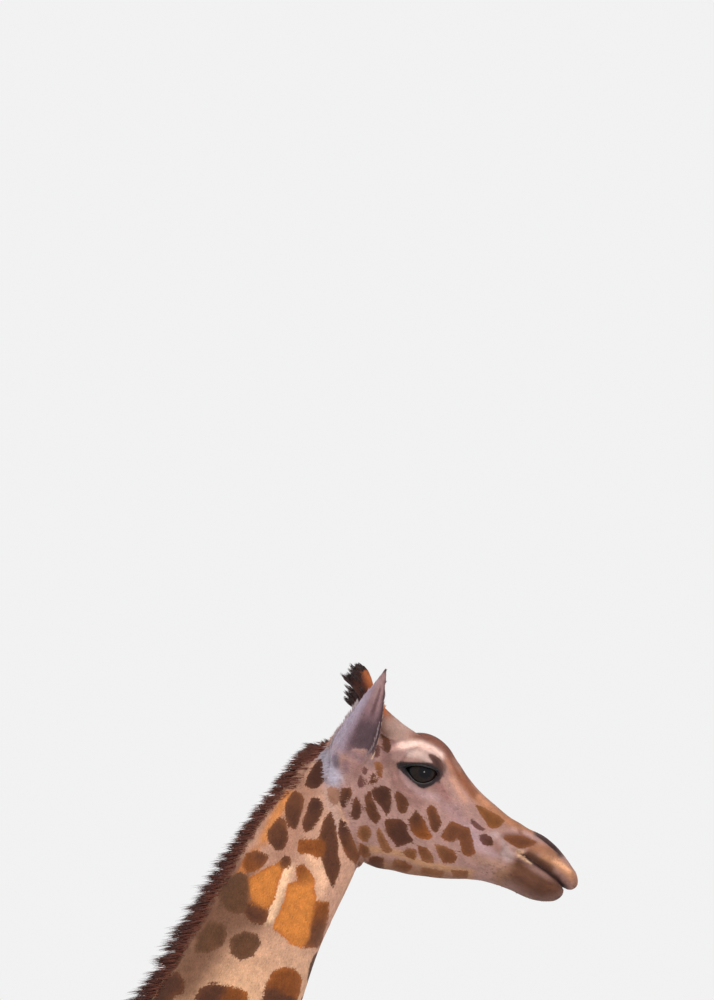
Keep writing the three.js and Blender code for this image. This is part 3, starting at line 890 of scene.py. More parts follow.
# The patches with outlines of their own. Each is its tint, or two for the first corner and the one
# opposite, and its corners: in the head's u and w for the face, and in the animal's x and z for the
# upper neck's right side.
FACE_PATCHES = [
    ("warm", "brown", [(21, 105), (29, 108), (40, 99), (45, 88), (36, 86), (24, 100)]),
    ("brown", "dark", [(36, 90), (47, 87), (56, 73), (56, 62), (48, 64), (40, 74)]),
    ("mauve", [(28, 58), (32, 69), (39, 61), (43, 50), (37, 43), (29, 48)]),
    ("tan", "warm", [(48, 38), (57, 34), (62, 21), (67, 12), (60, 11), (50, 22), (42, 31)]),
    ("dark", "brown", [(46, 13), (57, 6), (61, 0), (58, -8), (50, -6)]),
    ("mauve", [(29, -2), (40, -9), (42, -19), (35, -24), (29, -15)]),
    ("mauve", [(27, 16), (33, 15), (35, 3), (29, 5)]),
    ("brown", "dark", [(19, -31), (26, -40), (27, -56), (25, -69), (18, -67), (11, -56), (6, -38)]),
    ("brown", "dark", [(37, -42), (47, -49), (54, -58), (58, -75), (52, -80), (43, -74), (37, -60)]),
    ("brown", [(56, -23), (63, -27), (71, -38), (84, -49), (95, -59), (91, -71), (79, -67), (66, -55),
        (51, -33)]),
    ("dark", [(66, -25), (62, -18), (70, -9), (79, -2), (91, -5), (98, -18), (107, -40), (103, -49),
        (91, -41), (79, -33)]),
    ("brown", [(103, -3), (113, -4), (125, -9), (132, -16), (133, -30), (127, -36), (119, -31), (106, -15)]),
    ("brown", "rust", [(151, -20), (163, -24), (174, -31), (186, -41), (198, -49), (190, -57), (173, -59),
        (158, -54), (146, -41)]),
    ("warm", "brown", [(172, 3), (183, 0), (193, -9), (203, -18), (202, -39), (192, -36), (182, -26),
        (168, -9)]),
    ("brown", "dark", [(103, -60), (116, -53), (132, -48), (144, -51), (154, -62), (168, -70), (156, -82),
        (145, -91), (122, -81)]),
    ("tan", [(77, -81), (86, -83), (93, -93), (92, -106), (83, -108), (71, -104), (67, -89)]),
    ("tan", [(101, -76), (112, -84), (124, -93), (138, -101), (136, -109), (124, -108), (112, -99),
        (103, -87)]),
    ("tan", "olive", [(167, -86), (177, -84), (182, -89), (182, -99), (168, -101), (159, -97)]),
    ("warm", "tan", [(182, -75), (199, -73), (209, -78), (219, -90), (208, -94), (196, -93), (188, -85)]),
    ("tan", "warm", [(210, -59), (226, -54), (243, -55), (253, -63), (253, -72), (238, -82), (225, -75)]),
    ("warm", "tan", [(81, -116), (97, -116), (105, -122), (94, -127), (84, -129)]),
    ("brown", [(106, -126), (117, -121), (130, -120), (133, -128), (124, -136), (108, -136)]),
    ("tan", "warm", [(150, -115), (170, -110), (184, -110), (180, -117), (166, -123), (152, -124)]),
    ("tan", [(202, -106), (226, -100), (244, -94), (240, -102), (218, -110), (206, -113)]),
    ("tan", [(256, -85), (283, -76), (284, -83), (262, -91)]),
    ("warm", [(218, -9), (227, -7), (238, -6), (253, -3), (261, -14), (271, -27), (281, -40), (274, -50),
        (261, -51), (255, -41), (248, -31), (240, -28), (237, -38), (222, -43), (213, -41)]),
    ("mauve", [(249, 13), (257, 14), (270, 9), (280, 7), (276, 3), (265, 3), (254, 7)]),
    ("mauve", "dark", [(277, -7), (285, -1), (299, -3), (305, -11), (301, -16), (290, -18), (281, -15)]),
    ("olive", [(247, 42), (258, 46), (276, 46), (294, 44), (306, 39), (304, 25), (296, 16), (286, 16),
        (272, 27)]),
    ("rim", [(84, 47), (89, 40), (98, 36), (112, 31), (124, 27), (137, 24), (146, 25), (155, 33), (162, 45),
        (168, 55), (165, 68), (156, 76), (143, 69), (129, 62), (110, 55), (97, 52)]),
    # The upper lid's front: dark brown skin, darkened further as painted shade.
    ("lid", [(130, 85), (140, 88), (151, 89), (160, 82), (165, 70), (168, 56), (158, 62), (146, 69),
        (140, 77)]),
    ("warm", [(321, 7), (332, 17), (346, 25), (362, 26), (378, 26), (372, 16), (360, 6), (345, 3)]),
]
NECK_PATCHES = [
    ("dark", [(990, 2901), (994, 2880), (996, 2858), (986, 2845), (973, 2845), (963, 2855), (967, 2870),
        (978, 2888)]),
    ("warm", "brown", [(942, 2846), (952, 2837), (958, 2826), (954, 2804), (950, 2784), (943, 2767),
        (931, 2775), (925, 2796), (926, 2822)]),
    ("dark", "brown", [(973, 2826), (985, 2826), (993, 2817), (994, 2803), (986, 2783), (973, 2764),
        (961, 2761), (957, 2773), (966, 2808)]),
    ("warm", "brown", [(912, 2794), (924, 2786), (927, 2766), (930, 2746), (922, 2730), (908, 2730),
        (897, 2746), (892, 2768)]),
    ("warm", "rust", [(895, 2718), (883, 2700), (868, 2690), (855, 2690), (846, 2704), (852, 2726),
        (874, 2730)]),
    ("rust", [(948, 2743), (962, 2745), (976, 2745), (1004, 2750), (1008, 2720), (984, 2712), (971, 2719),
        (950, 2721)]),
    ("brown", [(1008, 2797), (1015, 2778), (1020, 2757), (1025, 2723), (1028, 2702), (1023, 2683),
        (1013, 2662), (1006, 2678), (1001, 2694), (995, 2706), (993, 2728), (990, 2752), (995, 2778)]),
    ("brown", "warm", [(925, 2717), (935, 2712), (933, 2697), (918, 2690), (914, 2702)]),
    ("orange", [(890, 2612), (872, 2622), (856, 2650), (857, 2677), (883, 2690), (901, 2701),
        (915, 2703), (922, 2694), (918, 2679), (913, 2664), (907, 2643), (900, 2624)]),
    ("warm", "brown", [(895, 2616), (891, 2593), (882, 2586), (861, 2594), (850, 2610), (852, 2632),
        (876, 2626)]),
    ("rust", "orange", [(946, 2694), (957, 2697), (971, 2686), (980, 2672), (979, 2650), (962, 2648),
        (953, 2655), (949, 2673)]),
    ("orange", [(960, 2664), (978, 2660), (983, 2633), (980, 2600), (976, 2560), (955, 2546), (938, 2551),
        (914, 2574), (904, 2577), (907, 2593), (919, 2617), (928, 2645), (932, 2662), (944, 2666)]),
    ("rust", "warm", [(983, 2633), (1006, 2632), (1005, 2612), (1000, 2592), (993, 2567), (984, 2552),
        (962, 2546), (964, 2576), (974, 2605)]),
    ("dark", "warm", [(1026, 2784), (1036, 2779), (1046, 2762), (1053, 2743), (1062, 2722), (1056, 2712),
        (1043, 2717), (1032, 2738), (1024, 2762)]),
    ("pale", [(1002, 2845), (1022, 2843), (1026, 2826), (1019, 2812), (1008, 2822)]),
    ("low", [(816, 2682), (840, 2690), (858, 2680), (864, 2652), (856, 2618), (838, 2606), (820, 2614),
        (804, 2634), (800, 2662)]),
    ("low", [(783, 2596), (806, 2592), (816, 2582), (818, 2569), (811, 2548), (784, 2536), (758, 2540),
        (764, 2574)]),
    ("low", [(826, 2562), (850, 2573), (873, 2567), (880, 2550), (868, 2528), (846, 2520), (826, 2532)]),
]
TINTS = {
    # at a patch's edge, and at its heart
    "dark": tint((92, 54, 38), (74, 41, 30)),
    "brown": tint((106, 62, 40), (86, 49, 32)),
    "warm": tint((126, 74, 44), (106, 61, 38)),
    "tan": tint((142, 92, 62), (120, 75, 46)),
    "olive": tint((134, 82, 44), (118, 69, 32)),
    "mauve": tint((112, 72, 66), (92, 54, 48)),
    "rust": tint((150, 84, 38), (130, 70, 28)),
    "orange": tint((188, 108, 48), (203, 124, 56)),
    "pale": tint((156, 112, 92), (148, 104, 84)),
    "rim": tint((60, 46, 46), (38, 32, 34)),
    # lid: dark brown skin at the upper lid's front, darkened further as painted shade
    "lid": tint((104, 70, 60), (76, 48, 42)),
    "low": tint((112, 74, 52), (97, 62, 40)),
    "coat": tint((130, 84, 50), (106, 68, 42)),
}


def patch_spacing(points):
    """How far apart patches lie: large on the trunk and shoulder, small up the neck and on the legs."""
    x, _, z = points.T
    neckward = ease(1700, 2500, z)
    size = lerp(150, 72, neckward)
    size = np.where(z < 1400, lerp(78, 150, ease(700, 1400, z)), size)
    belly = ease(-60, -230, z - 1600) * (np.abs(x) < 330)
    return lerp(size, 95, belly)


def scattered_patches(points, placed):
    """Further centres over the skin, each at least the local spacing from all others."""
    candidates = 26000
    order = random.permutation(len(points))[:candidates]
    x, y, z = points[order].T
    order = order[(z > 760) & ((z < 2570) | (y > 42) & (z < 2890) & (x < 1000))]
    kept = list(placed)
    fresh = []
    spacing = patch_spacing(points[order])
    for candidate, gap in zip(points[order], spacing):
        if np.min(np.linalg.norm(np.array(kept) - candidate, axis=1)) > gap * random.uniform(0.82, 1.1):
            kept.append(candidate)
            fresh.append((candidate, gap))
    return fresh


def outline_depth(points, corners):
    """How far points of a plane lie inside an outline, below zero outside it."""
    ends = np.roll(corners, -1, 0)
    off, run = points[:, None] - corners, ends - corners
    t = np.clip((off * run).sum(-1) / (run**2).sum(-1), 0, 1)
    gap = np.linalg.norm(off - t[..., None] * run, axis=-1).min(1)
    level = points[:, None, 1]
    spans = (corners[:, 1] > level) != (ends[:, 1] > level)
    rise = np.where(run[:, 1] == 0, 1, run[:, 1])
    ahead = points[:, None, 0] < corners[:, 0] + run[:, 0] * (level - corners[:, 1]) / rise
    return np.where((spans & ahead).sum(1) % 2 == 1, gap, -gap)


def chain_patches():
    """The scattered patches: two balls each, their radii and their tints."""
    placed = []
    for *_, corners in FACE_PATCHES:
        for u, w in [*corners, np.mean(corners, 0)]:
            out = 0.9 * np.interp(u, FACE_U, FACE_WIDTH)
            placed += [from_head((u, side * out, w)) for side in (-1, 1)]
    for *_, corners in NECK_PATCHES:
        placed += [(x, -np.interp(z, NECK_LEVEL, NECK_WIDTH), z) for x, z in [*corners, np.mean(corners, 0)]]
    chains = []
    for centre, gap in scattered_patches(points, placed):
        heading = unit(random.normal(size=3) * [1, 1, 1.6])
        reach = heading * gap * random.uniform(0.08, 0.24)
        kinds = LOWER_TINTS if centre[2] < UPPER_NECK else UPPER_TINTS
        radii = gap * random.uniform(0.46, 0.6, 2)
        tints = [TINTS[random.choice(kinds)], TINTS[random.choice(kinds)]]
        chains.append((np.stack([centre - reach, centre + reach]), radii, tints))
    centres, radii, tints = (np.array(values) for values in zip(*chains))
    return centres, radii, tints * random.uniform(0.9, 1.1, (len(chains), 1, 1, 1))


UPPER_NECK = 2350  # the height from which the neck's colours and coat are those of its upper part
LOWER_TINTS, UPPER_TINTS = ["coat", "rust", "coat", "warm"], ["brown", "rust", "brown", "coat"]
FACE_U, FACE_WIDTH = [row[0] for row in SKULL], [row[3] for row in SKULL]
NECK_LEVEL, NECK_WIDTH = [row[2] for row in NECK], [row[3] for row in NECK]
CHAINS = chain_patches()


def chain_marks(points, moved):
    """How deep points lie in the scattered patches, and their tints at the edge and the heart.

    A point's depth in a patch is the most that a ball's radius passes the distance to it, the ball being
    drawn from one to the other. Where two patches meet, it is half of their depths' difference, less
    half the pale line.
    """
    farthest, block_size = 150, 8000
    centres, radii, tints = CHAINS
    order = np.argsort(points[:, 2])
    foot, top = centres[..., 2].min(1), centres[..., 2].max(1)
    depth, colours = np.empty(len(points)), np.empty((len(points), 2, 3))
    for block in np.array_split(order, max(1, len(order) // block_size)):
        z = points[block, 2]
        near = np.flatnonzero((top > z.min() - farthest) & (foot < z.max() + farthest))
        if len(near) < 2:
            near = np.arange(2)
        start = centres[near, 0].astype(np.float32)
        run = (centres[near, 1] - centres[near, 0]).astype(np.float32)
        off = moved[block][:, None].astype(np.float32) - start
        t = np.clip((off * run).sum(-1) / (run**2).sum(-1), 0, 1)
        inside = lerp(radii[near, 0], radii[near, 1], t) - np.linalg.norm(off - t[..., None] * run, axis=-1)
        pair = np.argpartition(-inside, 1, axis=1)[:, :2]
        first, second = np.take_along_axis(inside, pair, 1).T
        line = lerp(2.4, 6.5, ease(14, 60, radii[near, 0][pair[:, 0]]))
        depth[block] = np.minimum((first - second) / 2 - line, first)
        blend = ease(0.1, 0.9, np.take_along_axis(t, pair[:, :1], 1))[:, :, None]
        chosen = tints[near[pair[:, 0]]]
        colours[block] = lerp(chosen[:, 0], chosen[:, 1], blend)
    return depth, colours


def marks(points):
    """How deep each point lies in its patch, below zero outside, in millimetres, and its two tints.

    The patches of the face and upper neck are outlines, and run together where they meet: there the
    deepest counts, and the tints mix by exp(depth / 3). The scattered ones keep 6 mm clear of them.
    """
    margin, swelling, gap, outside = 24, 1.5, 6, -60.0
    high = headward(points)
    moved = points + lerp(9, 1.6, high)[:, None] * wobble(points, lerp(46, 13, high)[:, None])
    depth, colours = chain_marks(points, moved)
    upper = np.flatnonzero(points[:, 2] > 2480)
    own = to_head(moved[upper])
    right = points[upper, 1] < 0
    own += np.where(right, 0, 5)[:, None] * wobble(points[upper], np.full((len(upper), 1), 50.0))
    best = np.full(len(upper), outside)
    total, mixed = np.full(len(upper), 1e-9), np.zeros((len(upper), 2, 3))
    groups = [
        (FACE_PATCHES, own[:, [0, 2]], own[:, 0] > -12),
        (NECK_PATCHES, moved[upper][:, [0, 2]], right),
    ]
    for patches, flat, allowed in groups:
        for *kinds, corners in patches:
            corners = np.array(corners, float)
            low, top = corners.min(0) - margin, corners.max(0) + margin
            near = np.flatnonzero(((flat > low) & (flat < top)).all(1) & allowed)
            inside = outline_depth(flat[near], corners) + swelling
            axis = corners[len(corners) // 2] - corners[0]
            part = ease(0.1, 0.9, (flat[near] - corners[0]) @ axis / (axis @ axis))[:, None, None]
            shade = lerp(TINTS[kinds[0]], TINTS[kinds[-1]], part)
            weight = np.exp(inside / 3)
            total[near] += weight
            mixed[near] += shade * weight[:, None, None]
            best[near] = np.maximum(best[near], inside)
    found = best > outside + 1
    clear = np.where(found, -best - gap, -outside)
    clear = np.where((own[:, 0] > 0) & (own[:, 2] > -170) & (best < 0), -9, clear)
    scattered = np.minimum(depth[upper], clear)
    outlined = found & (best > scattered)
    depth[upper] = np.where(outlined, best, scattered)
    colours[upper] = np.where(outlined[:, None, None], mixed / total[:, None, None], colours[upper])
    return depth, colours


# Soft strokes of the face's ground colour, later ones over earlier: tint, half width, strength, and
# the path in the head's u and w. Each blends its tint in by strength * exp(-(distance / half width)^3).
STROKES = [
    ((128, 84, 62), 30, 0.8, [(-20, -120), (60, -140)]),
    ((170, 126, 112), 20, 0.9, [(15, 145), (35, 120), (62, 116), (87, 108)]),
    # Painted shade behind the eye.
    ((122, 86, 82), 14, 0.85, [(42, 92), (60, 60), (62, 40)]),
    # Painted shade under the eye.
    ((138, 102, 92), 12, 0.8, [(78, 40), (96, 12), (134, -6)]),
    ((186, 150, 148), 8, 0.85, [(100, 32), (124, 16), (150, 12), (178, 22)]),
    ((168, 130, 128), 14, 0.85, [(196, 14), (216, 14), (232, -2)]),
    ((156, 110, 104), 10, 0.8, [(168, 42), (192, 30)]),
    ((180, 146, 148), 17, 0.9, [(258, -6), (285, -28), (312, -36)]),
    ((188, 160, 156), 12, 0.85, [(300, 6), (320, -8), (340, -20)]),
    ((166, 124, 112), 9, 0.85, [(290, 14), (317, 32)]),
    ((204, 164, 160), 7, 0.9, [(330, 36), (352, 40)]),
    ((146, 90, 62), 15, 0.95, [(170, 104), (190, 90), (212, 76)]),
    ((172, 116, 82), 14, 0.95, [(226, 70), (245, 60), (275, 52), (315, 47), (360, 43)]),
    ((116, 68, 50), 5, 0.75, [(196, 95), (222, 76), (252, 60)]),
    ((126, 72, 54), 18, 0.97, [(92, 120), (116, 130), (144, 128), (168, 114), (184, 100)]),
    ((176, 122, 98), 6, 0.8, [(162, 96), (180, 80), (196, 66)]),
    # Painted highlight ahead of the eye.
    ((200, 148, 126), 7, 0.85, [(188, 66), (206, 54), (224, 42)]),
    # Painted shade under the eye, deepened.
    ((156, 114, 106), 12, 0.8, [(92, 22), (112, 6), (150, -4)]),
    ((142, 84, 57), 8, 0.9, [(196, 84), (217, 72), (235, 60)]),
    ((156, 110, 90), 8, 0.8, [(176, 108), (190, 97)]),
    ((194, 134, 100), 7, 0.8, [(246, 63), (262, 56)]),
    ((158, 108, 93), 9, 0.8, [(306, -8), (318, -14)]),
    ((160, 120, 100), 12, 0.8, [(286, -46), (306, -46), (326, -43)]),
    ((138, 92, 75), 6, 0.8, [(344, 32), (356, 30)]),
    ((140, 102, 98), 9, 0.85, [(60, 95), (58, 74), (50, 62)]),
    ((134, 104, 102), 9, 0.85, [(30, 46), (38, 28)]),
    ((148, 108, 102), 12, 0.85, [(18, 14), (22, 0)]),
    ((130, 96, 100), 8, 0.85, [(-5, 8), (0, -2)]),
    ((204, 158, 148), 9, 0.9, [(66, 74), (78, 88)]),
    ((244, 208, 194), 11, 1.0, [(78, 86), (92, 94), (108, 101), (130, 100), (146, 97)]),
    ((168, 130, 122), 8, 0.9, [(74, 58), (90, 70)]),
    ((208, 176, 166), 10, 1.0, [(98, 74), (116, 78), (134, 76)]),
    # The upper lid's front: dark brown skin, darkened further as painted shade.
    ((96, 64, 56), 8, 0.9, [(138, 84), (152, 82), (160, 74)]),
    ((112, 80, 72), 6, 0.9, [(164, 80), (166, 66)]),
    ((52, 42, 46), 4.5, 0.98, [(89, 45), (96, 49), (118, 56), (135, 64), (158, 71), (165, 62)]),
    ((48, 38, 42), 5.5, 1.0, [(88, 45), (98, 40), (112, 34), (124, 30), (137, 27), (146, 30), (155, 38),
        (164, 60)]),
    ((70, 52, 50), 2.5, 0.9, [(166, 50), (168, 47)]),
    ((190, 142, 106), 6, 0.9, [(84, -120), (104, -114), (131, -106), (153, -101), (181, -100), (209, -96),
        (247, -87), (290, -75)]),
    # The jaw's underside: its own brown band, darkened further as painted shade.
    ((146, 100, 72), 13, 0.9, [(100, -140), (136, -130), (168, -124), (205, -115), (240, -106), (290, -93)]),
    # Painted highlight on the chin.
    ((150, 108, 82), 15, 0.85, [(345, -58), (365, -34)]),
    ((156, 104, 74), 13, 0.9, [(378, 12), (400, 20), (420, 24)]),
    ((184, 130, 96), 11, 0.95, [(404, 4), (430, 6), (456, 0), (466, -4)]),
    # Painted highlight on the upper lip near the nose tip.
    ((226, 168, 128), 5, 0.9, [(424, 6), (440, 5), (456, 2)]),
    ((150, 104, 84), 7, 0.9, [(474, -6), (478, -12)]),
    ((116, 72, 54), 8, 0.9, [(322, 11), (346, 20), (372, 24)]),
    ((190, 150, 142), 6, 0.8, [(352, 36), (374, 34)]),
    ((60, 42, 42), 8, 0.95, [(372, 45), (392, 42), (413, 35), (428, 26)]),
    ((102, 64, 44), 6, 0.9, [(374, -1), (394, -4), (410, -6), (424, -9)]),
    ((98, 60, 42), 21, 0.97, [(372, -44), (395, -50), (425, -50), (446, -36)]),
    ((94, 56, 36), 10, 0.9, [(364, -26), (392, -34), (431, -39)]),
    ((84, 52, 40), 7, 0.95, [(362, -7), (384, -10), (416, -15), (440, -20)]),
    ((230, 188, 158), 3.4, 0.95, [(352, -5), (358, -2), (363, -1)]),
    ((222, 178, 146), 3.4, 0.95, [(358, -10), (370, -12), (384, -13)]),
    # Painted shadow in the crease of the closed mouth.
    ((56, 34, 32), 2.6, 0.95, [(366, -6), (384, -11), (416, -15), (448, -21), (464, -24)]),
    ((178, 170, 184), 17, 0.95, [(-50, 12), (-36, -8), (-14, -26)]),
    ((90, 74, 84), 9, 0.9, [(-28, 8), (-22, 0)]),
    ((132, 102, 106), 9, 0.8, [(-28, 34), (-6, 32), (16, 30)]),
]
# The same on the upper neck's right side, their paths in the animal's x and z.
NECK_STROKES = [
    # The first two are painted shade, darkening the lower neck towards the crest.
    ((118, 80, 60), 52, 0.95, [(880, 2620), (800, 2590), (730, 2480)]),
    ((118, 78, 58), 24, 0.9, [(850, 2700), (814, 2650), (770, 2590)]),
    ((172, 124, 102), 24, 0.85, [(968, 2850), (950, 2800), (932, 2750), (920, 2716)]),
    ((216, 138, 76), 12, 0.95, [(930, 2838), (906, 2798), (886, 2752)]),
    ((206, 124, 62), 9, 0.85, [(868, 2730), (838, 2680)]),
    ((248, 202, 162), 14, 0.95, [(927, 2688), (908, 2640), (896, 2600)]),
    ((232, 182, 148), 13, 0.9, [(972, 2716), (992, 2690), (994, 2660)]),
    ((200, 152, 128), 20, 0.9, [(1040, 2740), (1016, 2640), (1000, 2560)]),
    ((186, 150, 136), 12, 0.85, [(1004, 2845), (1012, 2815), (1024, 2770)]),
]


def ground_of(points, place):
    """The colour between the patches, and over the places that have none."""
    _, y, z = points.T
    ground = np.tile(tint(226, 178, 132), (len(points), 1))
    neckward = ease(2250, 2700, z)
    ground = laid(ground, (196, 148, 124), neckward)
    on_neck = place.on("neck")
    throat = ease(0.2, -0.9, np.sin(place.angle)) * on_neck
    ground = laid(ground, (200, 154, 126), throat * neckward)
    for colour, width, strength, path in NECK_STROKES:
        near = np.exp(-((distance_to_path(points[:, [0, 2]], path) / width) ** 3))
        ground = laid(ground, colour, near * strength * on_neck * (y < 20))
    shin, pastern = ease(950, 620, z), ease(230, 90, z)
    ground = laid(ground, (232, 204, 168), shin)
    ground = laid(ground, (190, 148, 112), pastern * 0.6)
    u, _, w = to_head(points).T
    on_head = place.on(*HEAD_PARTS)
    ground = laid(ground, (170, 130, 120), ease(-70, 0, u) * on_head)
    for colour, width, strength, path in STROKES:
        near = np.exp(-((distance_to_path(np.stack([u, w], -1), path) / width) ** 3))
        ground = laid(ground, colour, near * strength * on_head)
    return ground


def horn_colour(t, angle):
    """Ossicones: warm brown at the root and in front, near black at the tip."""
    colour = lerp(tint(172, 138, 126), tint(76, 42, 34), ease(0.4, 0.64, t)[:, None])
    front = ease(-0.2, 0.6, -np.sin(angle)) * ease(0.42, 0.58, t)
    colour = laid(colour, (166, 92, 50), front * 0.95)
    dark = ease(0.84, 0.97, t) * ease(-0.7, 0.2, np.sin(angle))
    return laid(colour, (46, 32, 32), dark)


def ear_colour(t, a):
    """Ears: lilac inside, with painted shade low in the cup and along the inside of the front edge, a pale
    rim and back.
    """
    inside = a <= 1.001
    across = np.where(inside, a, 2 - a)
    colour = lerp(tint(148, 113, 118), tint(170, 134, 132), ease(0.5, 0.9, t)[:, None])
    # Painted shade low in the ear's cup.
    deep = ease(0.04, 0.2, t) * ease(0.62, 0.42, t) * ease(1, 0.3, np.abs(across - 0.35))
    colour = laid(colour, (84, 66, 72), 0.9 * deep)
    colour = laid(colour, (134, 112, 120), ease(0.25, 0.05, t))
    # Painted shade along the inside of the ear's front edge.
    edge = ease(0.6, 0.9, across)
    colour = laid(colour, (78, 56, 60), edge * ease(0.15, 0.35, t) * 0.95)
    streak = ease(0.22, 0.06, np.abs(across - 0.32)) * ease(0.5, 0.6, t)
    streak *= ease(0.86, 0.78, t)
    colour = laid(colour, (100, 70, 72), 0.8 * streak)
    colour = laid(colour, (66, 50, 56), ease(0.94, 0.99, t))
    rim = ease(-0.1, -0.75, across) * ease(1, 0.6, t)
    colour = laid(colour, (178, 162, 178), rim)
    back = lerp(tint(214, 176, 150), tint(176, 122, 92), ease(0.7, 1.0, t)[:, None])
    back = laid(back, (184, 164, 176), ease(-0.5, -0.95, across))
    return np.where(inside[:, None], colour, back)


def patch_colour(points, depth, tints):
    """A patch's colour, from its edge to its heart."""
    heart = ease(0, lerp(26, 9, headward(points)), depth)[:, None]
    return lerp(tints[:, 0], tints[:, 1], heart)


def markings(points, place):
    """Ground and patch colours at each point, how deep it lies in its patch, and the most that may be."""
    depth, tints = marks(points)
    patch = patch_colour(points, depth, tints)
    ground = ground_of(points, place)
    z = points[:, 2]
    on_horn = place.on(*HORNS)
    up_horn = place.along / ossicones[0].length
    horn = horn_colour(up_horn, place.angle)
    ground = lerp(ground, horn, (ease(0.16, 0.34, up_horn) * on_horn)[:, None])
    on_ear = place.on("ear")
    risen = (ease(0.0, 0.26, place.along) * on_ear)[:, None]
    ground = lerp(ground, ear_colour(place.along, place.angle), risen)
    u, v, w = to_head(points).T
    on_head = place.on("skull", "jaw")
    on_cup = on_ear & (place.along > 0.05)
    low_horn = on_horn & (place.along < 0.12 * ossicones[0].length)
    bare = on_horn & ~low_horn | on_cup | on_head & (u > 380) | (z < 690)
    bare |= place.on("tail") & (z < 1500)
    ceiling = np.where(bare | on_head & (w > 112) & (u < 190), -9, 60)
    ceiling = np.where(on_head & (np.abs(v) < 30) & (w > 30), np.minimum(ceiling, -3), ceiling)
    return ground, patch, np.minimum(depth, ceiling), ceiling


ground, patch, depth, ceiling = markings(points, place)

# ---- Materials ----


class Nodes:
    """A material's node tree, written as short calls: each makes a node and returns its output."""

    def __init__(self, name):
        self.material = bpy.data.materials.new(name)
        self.material.use_nodes = True
        self.tree = self.material.node_tree
        self.shader = self.tree.nodes["Principled BSDF"]

    def make(self, kind, inputs=(), output=0, **settings):
        """Adds a node, with its settings, and gives its inputs values or joins them to outputs."""
        node = self.tree.nodes.new("ShaderNode" + kind)
        for key, value in settings.items():
            setattr(node, key, value)
        for key, value in dict(inputs).items():
            self.join(node.inputs[key], value)
        return node.outputs[output]

    def join(self, socket, value):
        """Links an output to the socket, or sets its value."""
        if isinstance(value, bpy.types.NodeSocket):
            self.tree.links.new(value, socket)
        else:
            socket.default_value = value

    def set(self, **inputs):
        for key, value in inputs.items():
            self.join(self.shader.inputs[key.replace("_", " ")], value)

    def attribute(self, name, output=0):
        return self.make("Attribute", attribute_name=name, output=output)

    def maths(self, operation, a, b):
        return self.make("Math", {0: a, 1: b}, operation=operation)

    def place(self):
        """The point's place on the piece, in metres."""
        return self.make("TexCoord", output=3)

    def noise(self, scale, detail):
        return self.make("TexNoise", {"Vector": self.place(), "Scale": scale, "Detail": detail})

    def grey(self, value):
        """A colour with the value in each of its channels."""
        return self.make("CombineColor", {0: value, 1: value, 2: value})

    def ramp(self, value, low, high, to_low=0.0, to_high=1.0, smooth=True):
        """The value from low to high, taken to the range from to_low to to_high."""
        kind = "SMOOTHSTEP" if smooth else "LINEAR"
        ends = {0: value, 1: low, 2: high, 3: to_low, 4: to_high}
        return self.make("MapRange", ends, interpolation_type=kind)

    def mix(self, factor, a, b, blend="MIX"):
        node = self.tree.nodes.new("ShaderNodeMix")
        node.data_type, node.blend_type = "RGBA", blend
        for socket, value in ((node.inputs[0], factor), (node.inputs[6], a), (node.inputs[7], b)):
            self.join(socket, value)
        return node.outputs[2]


def hide_material():
    """The coat seen as colour: ground and patch with a ragged edge, mottled, over a fine nap."""
    n = Nodes("hide")
    edge = n.ramp(n.noise(330, 3), 0.2, 0.8, -1.5, 1.5, smooth=False)
    mask = n.ramp(n.maths("ADD", n.attribute("mark", 2), edge), -0.9, 0.9)
    colour = n.mix(mask, n.attribute("ground"), n.attribute("patch"))
    mottle = n.ramp(n.noise(60, 5), 0.25, 0.75, 0.87, 1.12)
    mottle = n.maths("MULTIPLY", mottle, n.attribute("shade", 2))
    colour = n.mix(1.0, colour, n.grey(mottle), "MULTIPLY")
    nap = n.noise(900, 3)
    bump = n.make("Bump", {"Strength": 0.25, "Distance": 0.0012, "Height": nap})
    n.set(Base_Color=colour, Roughness=0.78, Sheen_Weight=0.06, Sheen_Roughness=0.5, Normal=bump)
    n.set(Specular_IOR_Level=0.2)
    return n.material


def paint_attributes(mesh, **attributes):
    """Stores numbers or colours on a mesh's points."""
    for name, values in attributes.items():
        values = np.asarray(values, np.float32)
        if values.ndim == 1:
            mesh.attributes.new(name, "FLOAT", "POINT").data.foreach_set("value", values)
        else:
            colours = np.concatenate([values, np.ones((len(values), 1), np.float32)], 1)
            mesh.attributes.new(name, "FLOAT_COLOR", "POINT").data.foreach_set("color", colours.ravel())


HIDE = hide_material()
skin = make_mesh("skin", metres(points), faces, HIDE)
paint_attributes(skin.data, ground=ground, patch=patch, mark=depth, shade=np.ones(len(points)))
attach(skin, "root")
# The skin stands for every node but those that are pieces of their own.
OWN_PIECES = ("eye", "mane", "tail_tuft")
flesh_nodes = [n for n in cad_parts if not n.startswith(OWN_PIECES) and "hoof" not in n]
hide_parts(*flesh_nodes)

# ---- Eyes and hooves ----


def eye_material():
    """A wet dark eye: a brown iris round a wide pupil, darker at its rim, by the angle from its gaze."""
    n = Nodes("eye")
    gaze = n.attribute("gaze", 2)
    iris = n.mix(n.ramp(n.noise(500, 3), 0.35, 0.7), (0.009, 0.005, 0.004, 1), (0.02, 0.01, 0.007, 1))
    colour = n.mix(n.ramp(gaze, 0.30, 0.42), (0.003, 0.0025, 0.004, 1), iris)
    colour = n.mix(n.ramp(gaze, 0.72, 0.86), colour, (0.006, 0.005, 0.006, 1))
    n.set(Base_Color=colour, Roughness=0.06, Specular_IOR_Level=0.18)
    return n.material


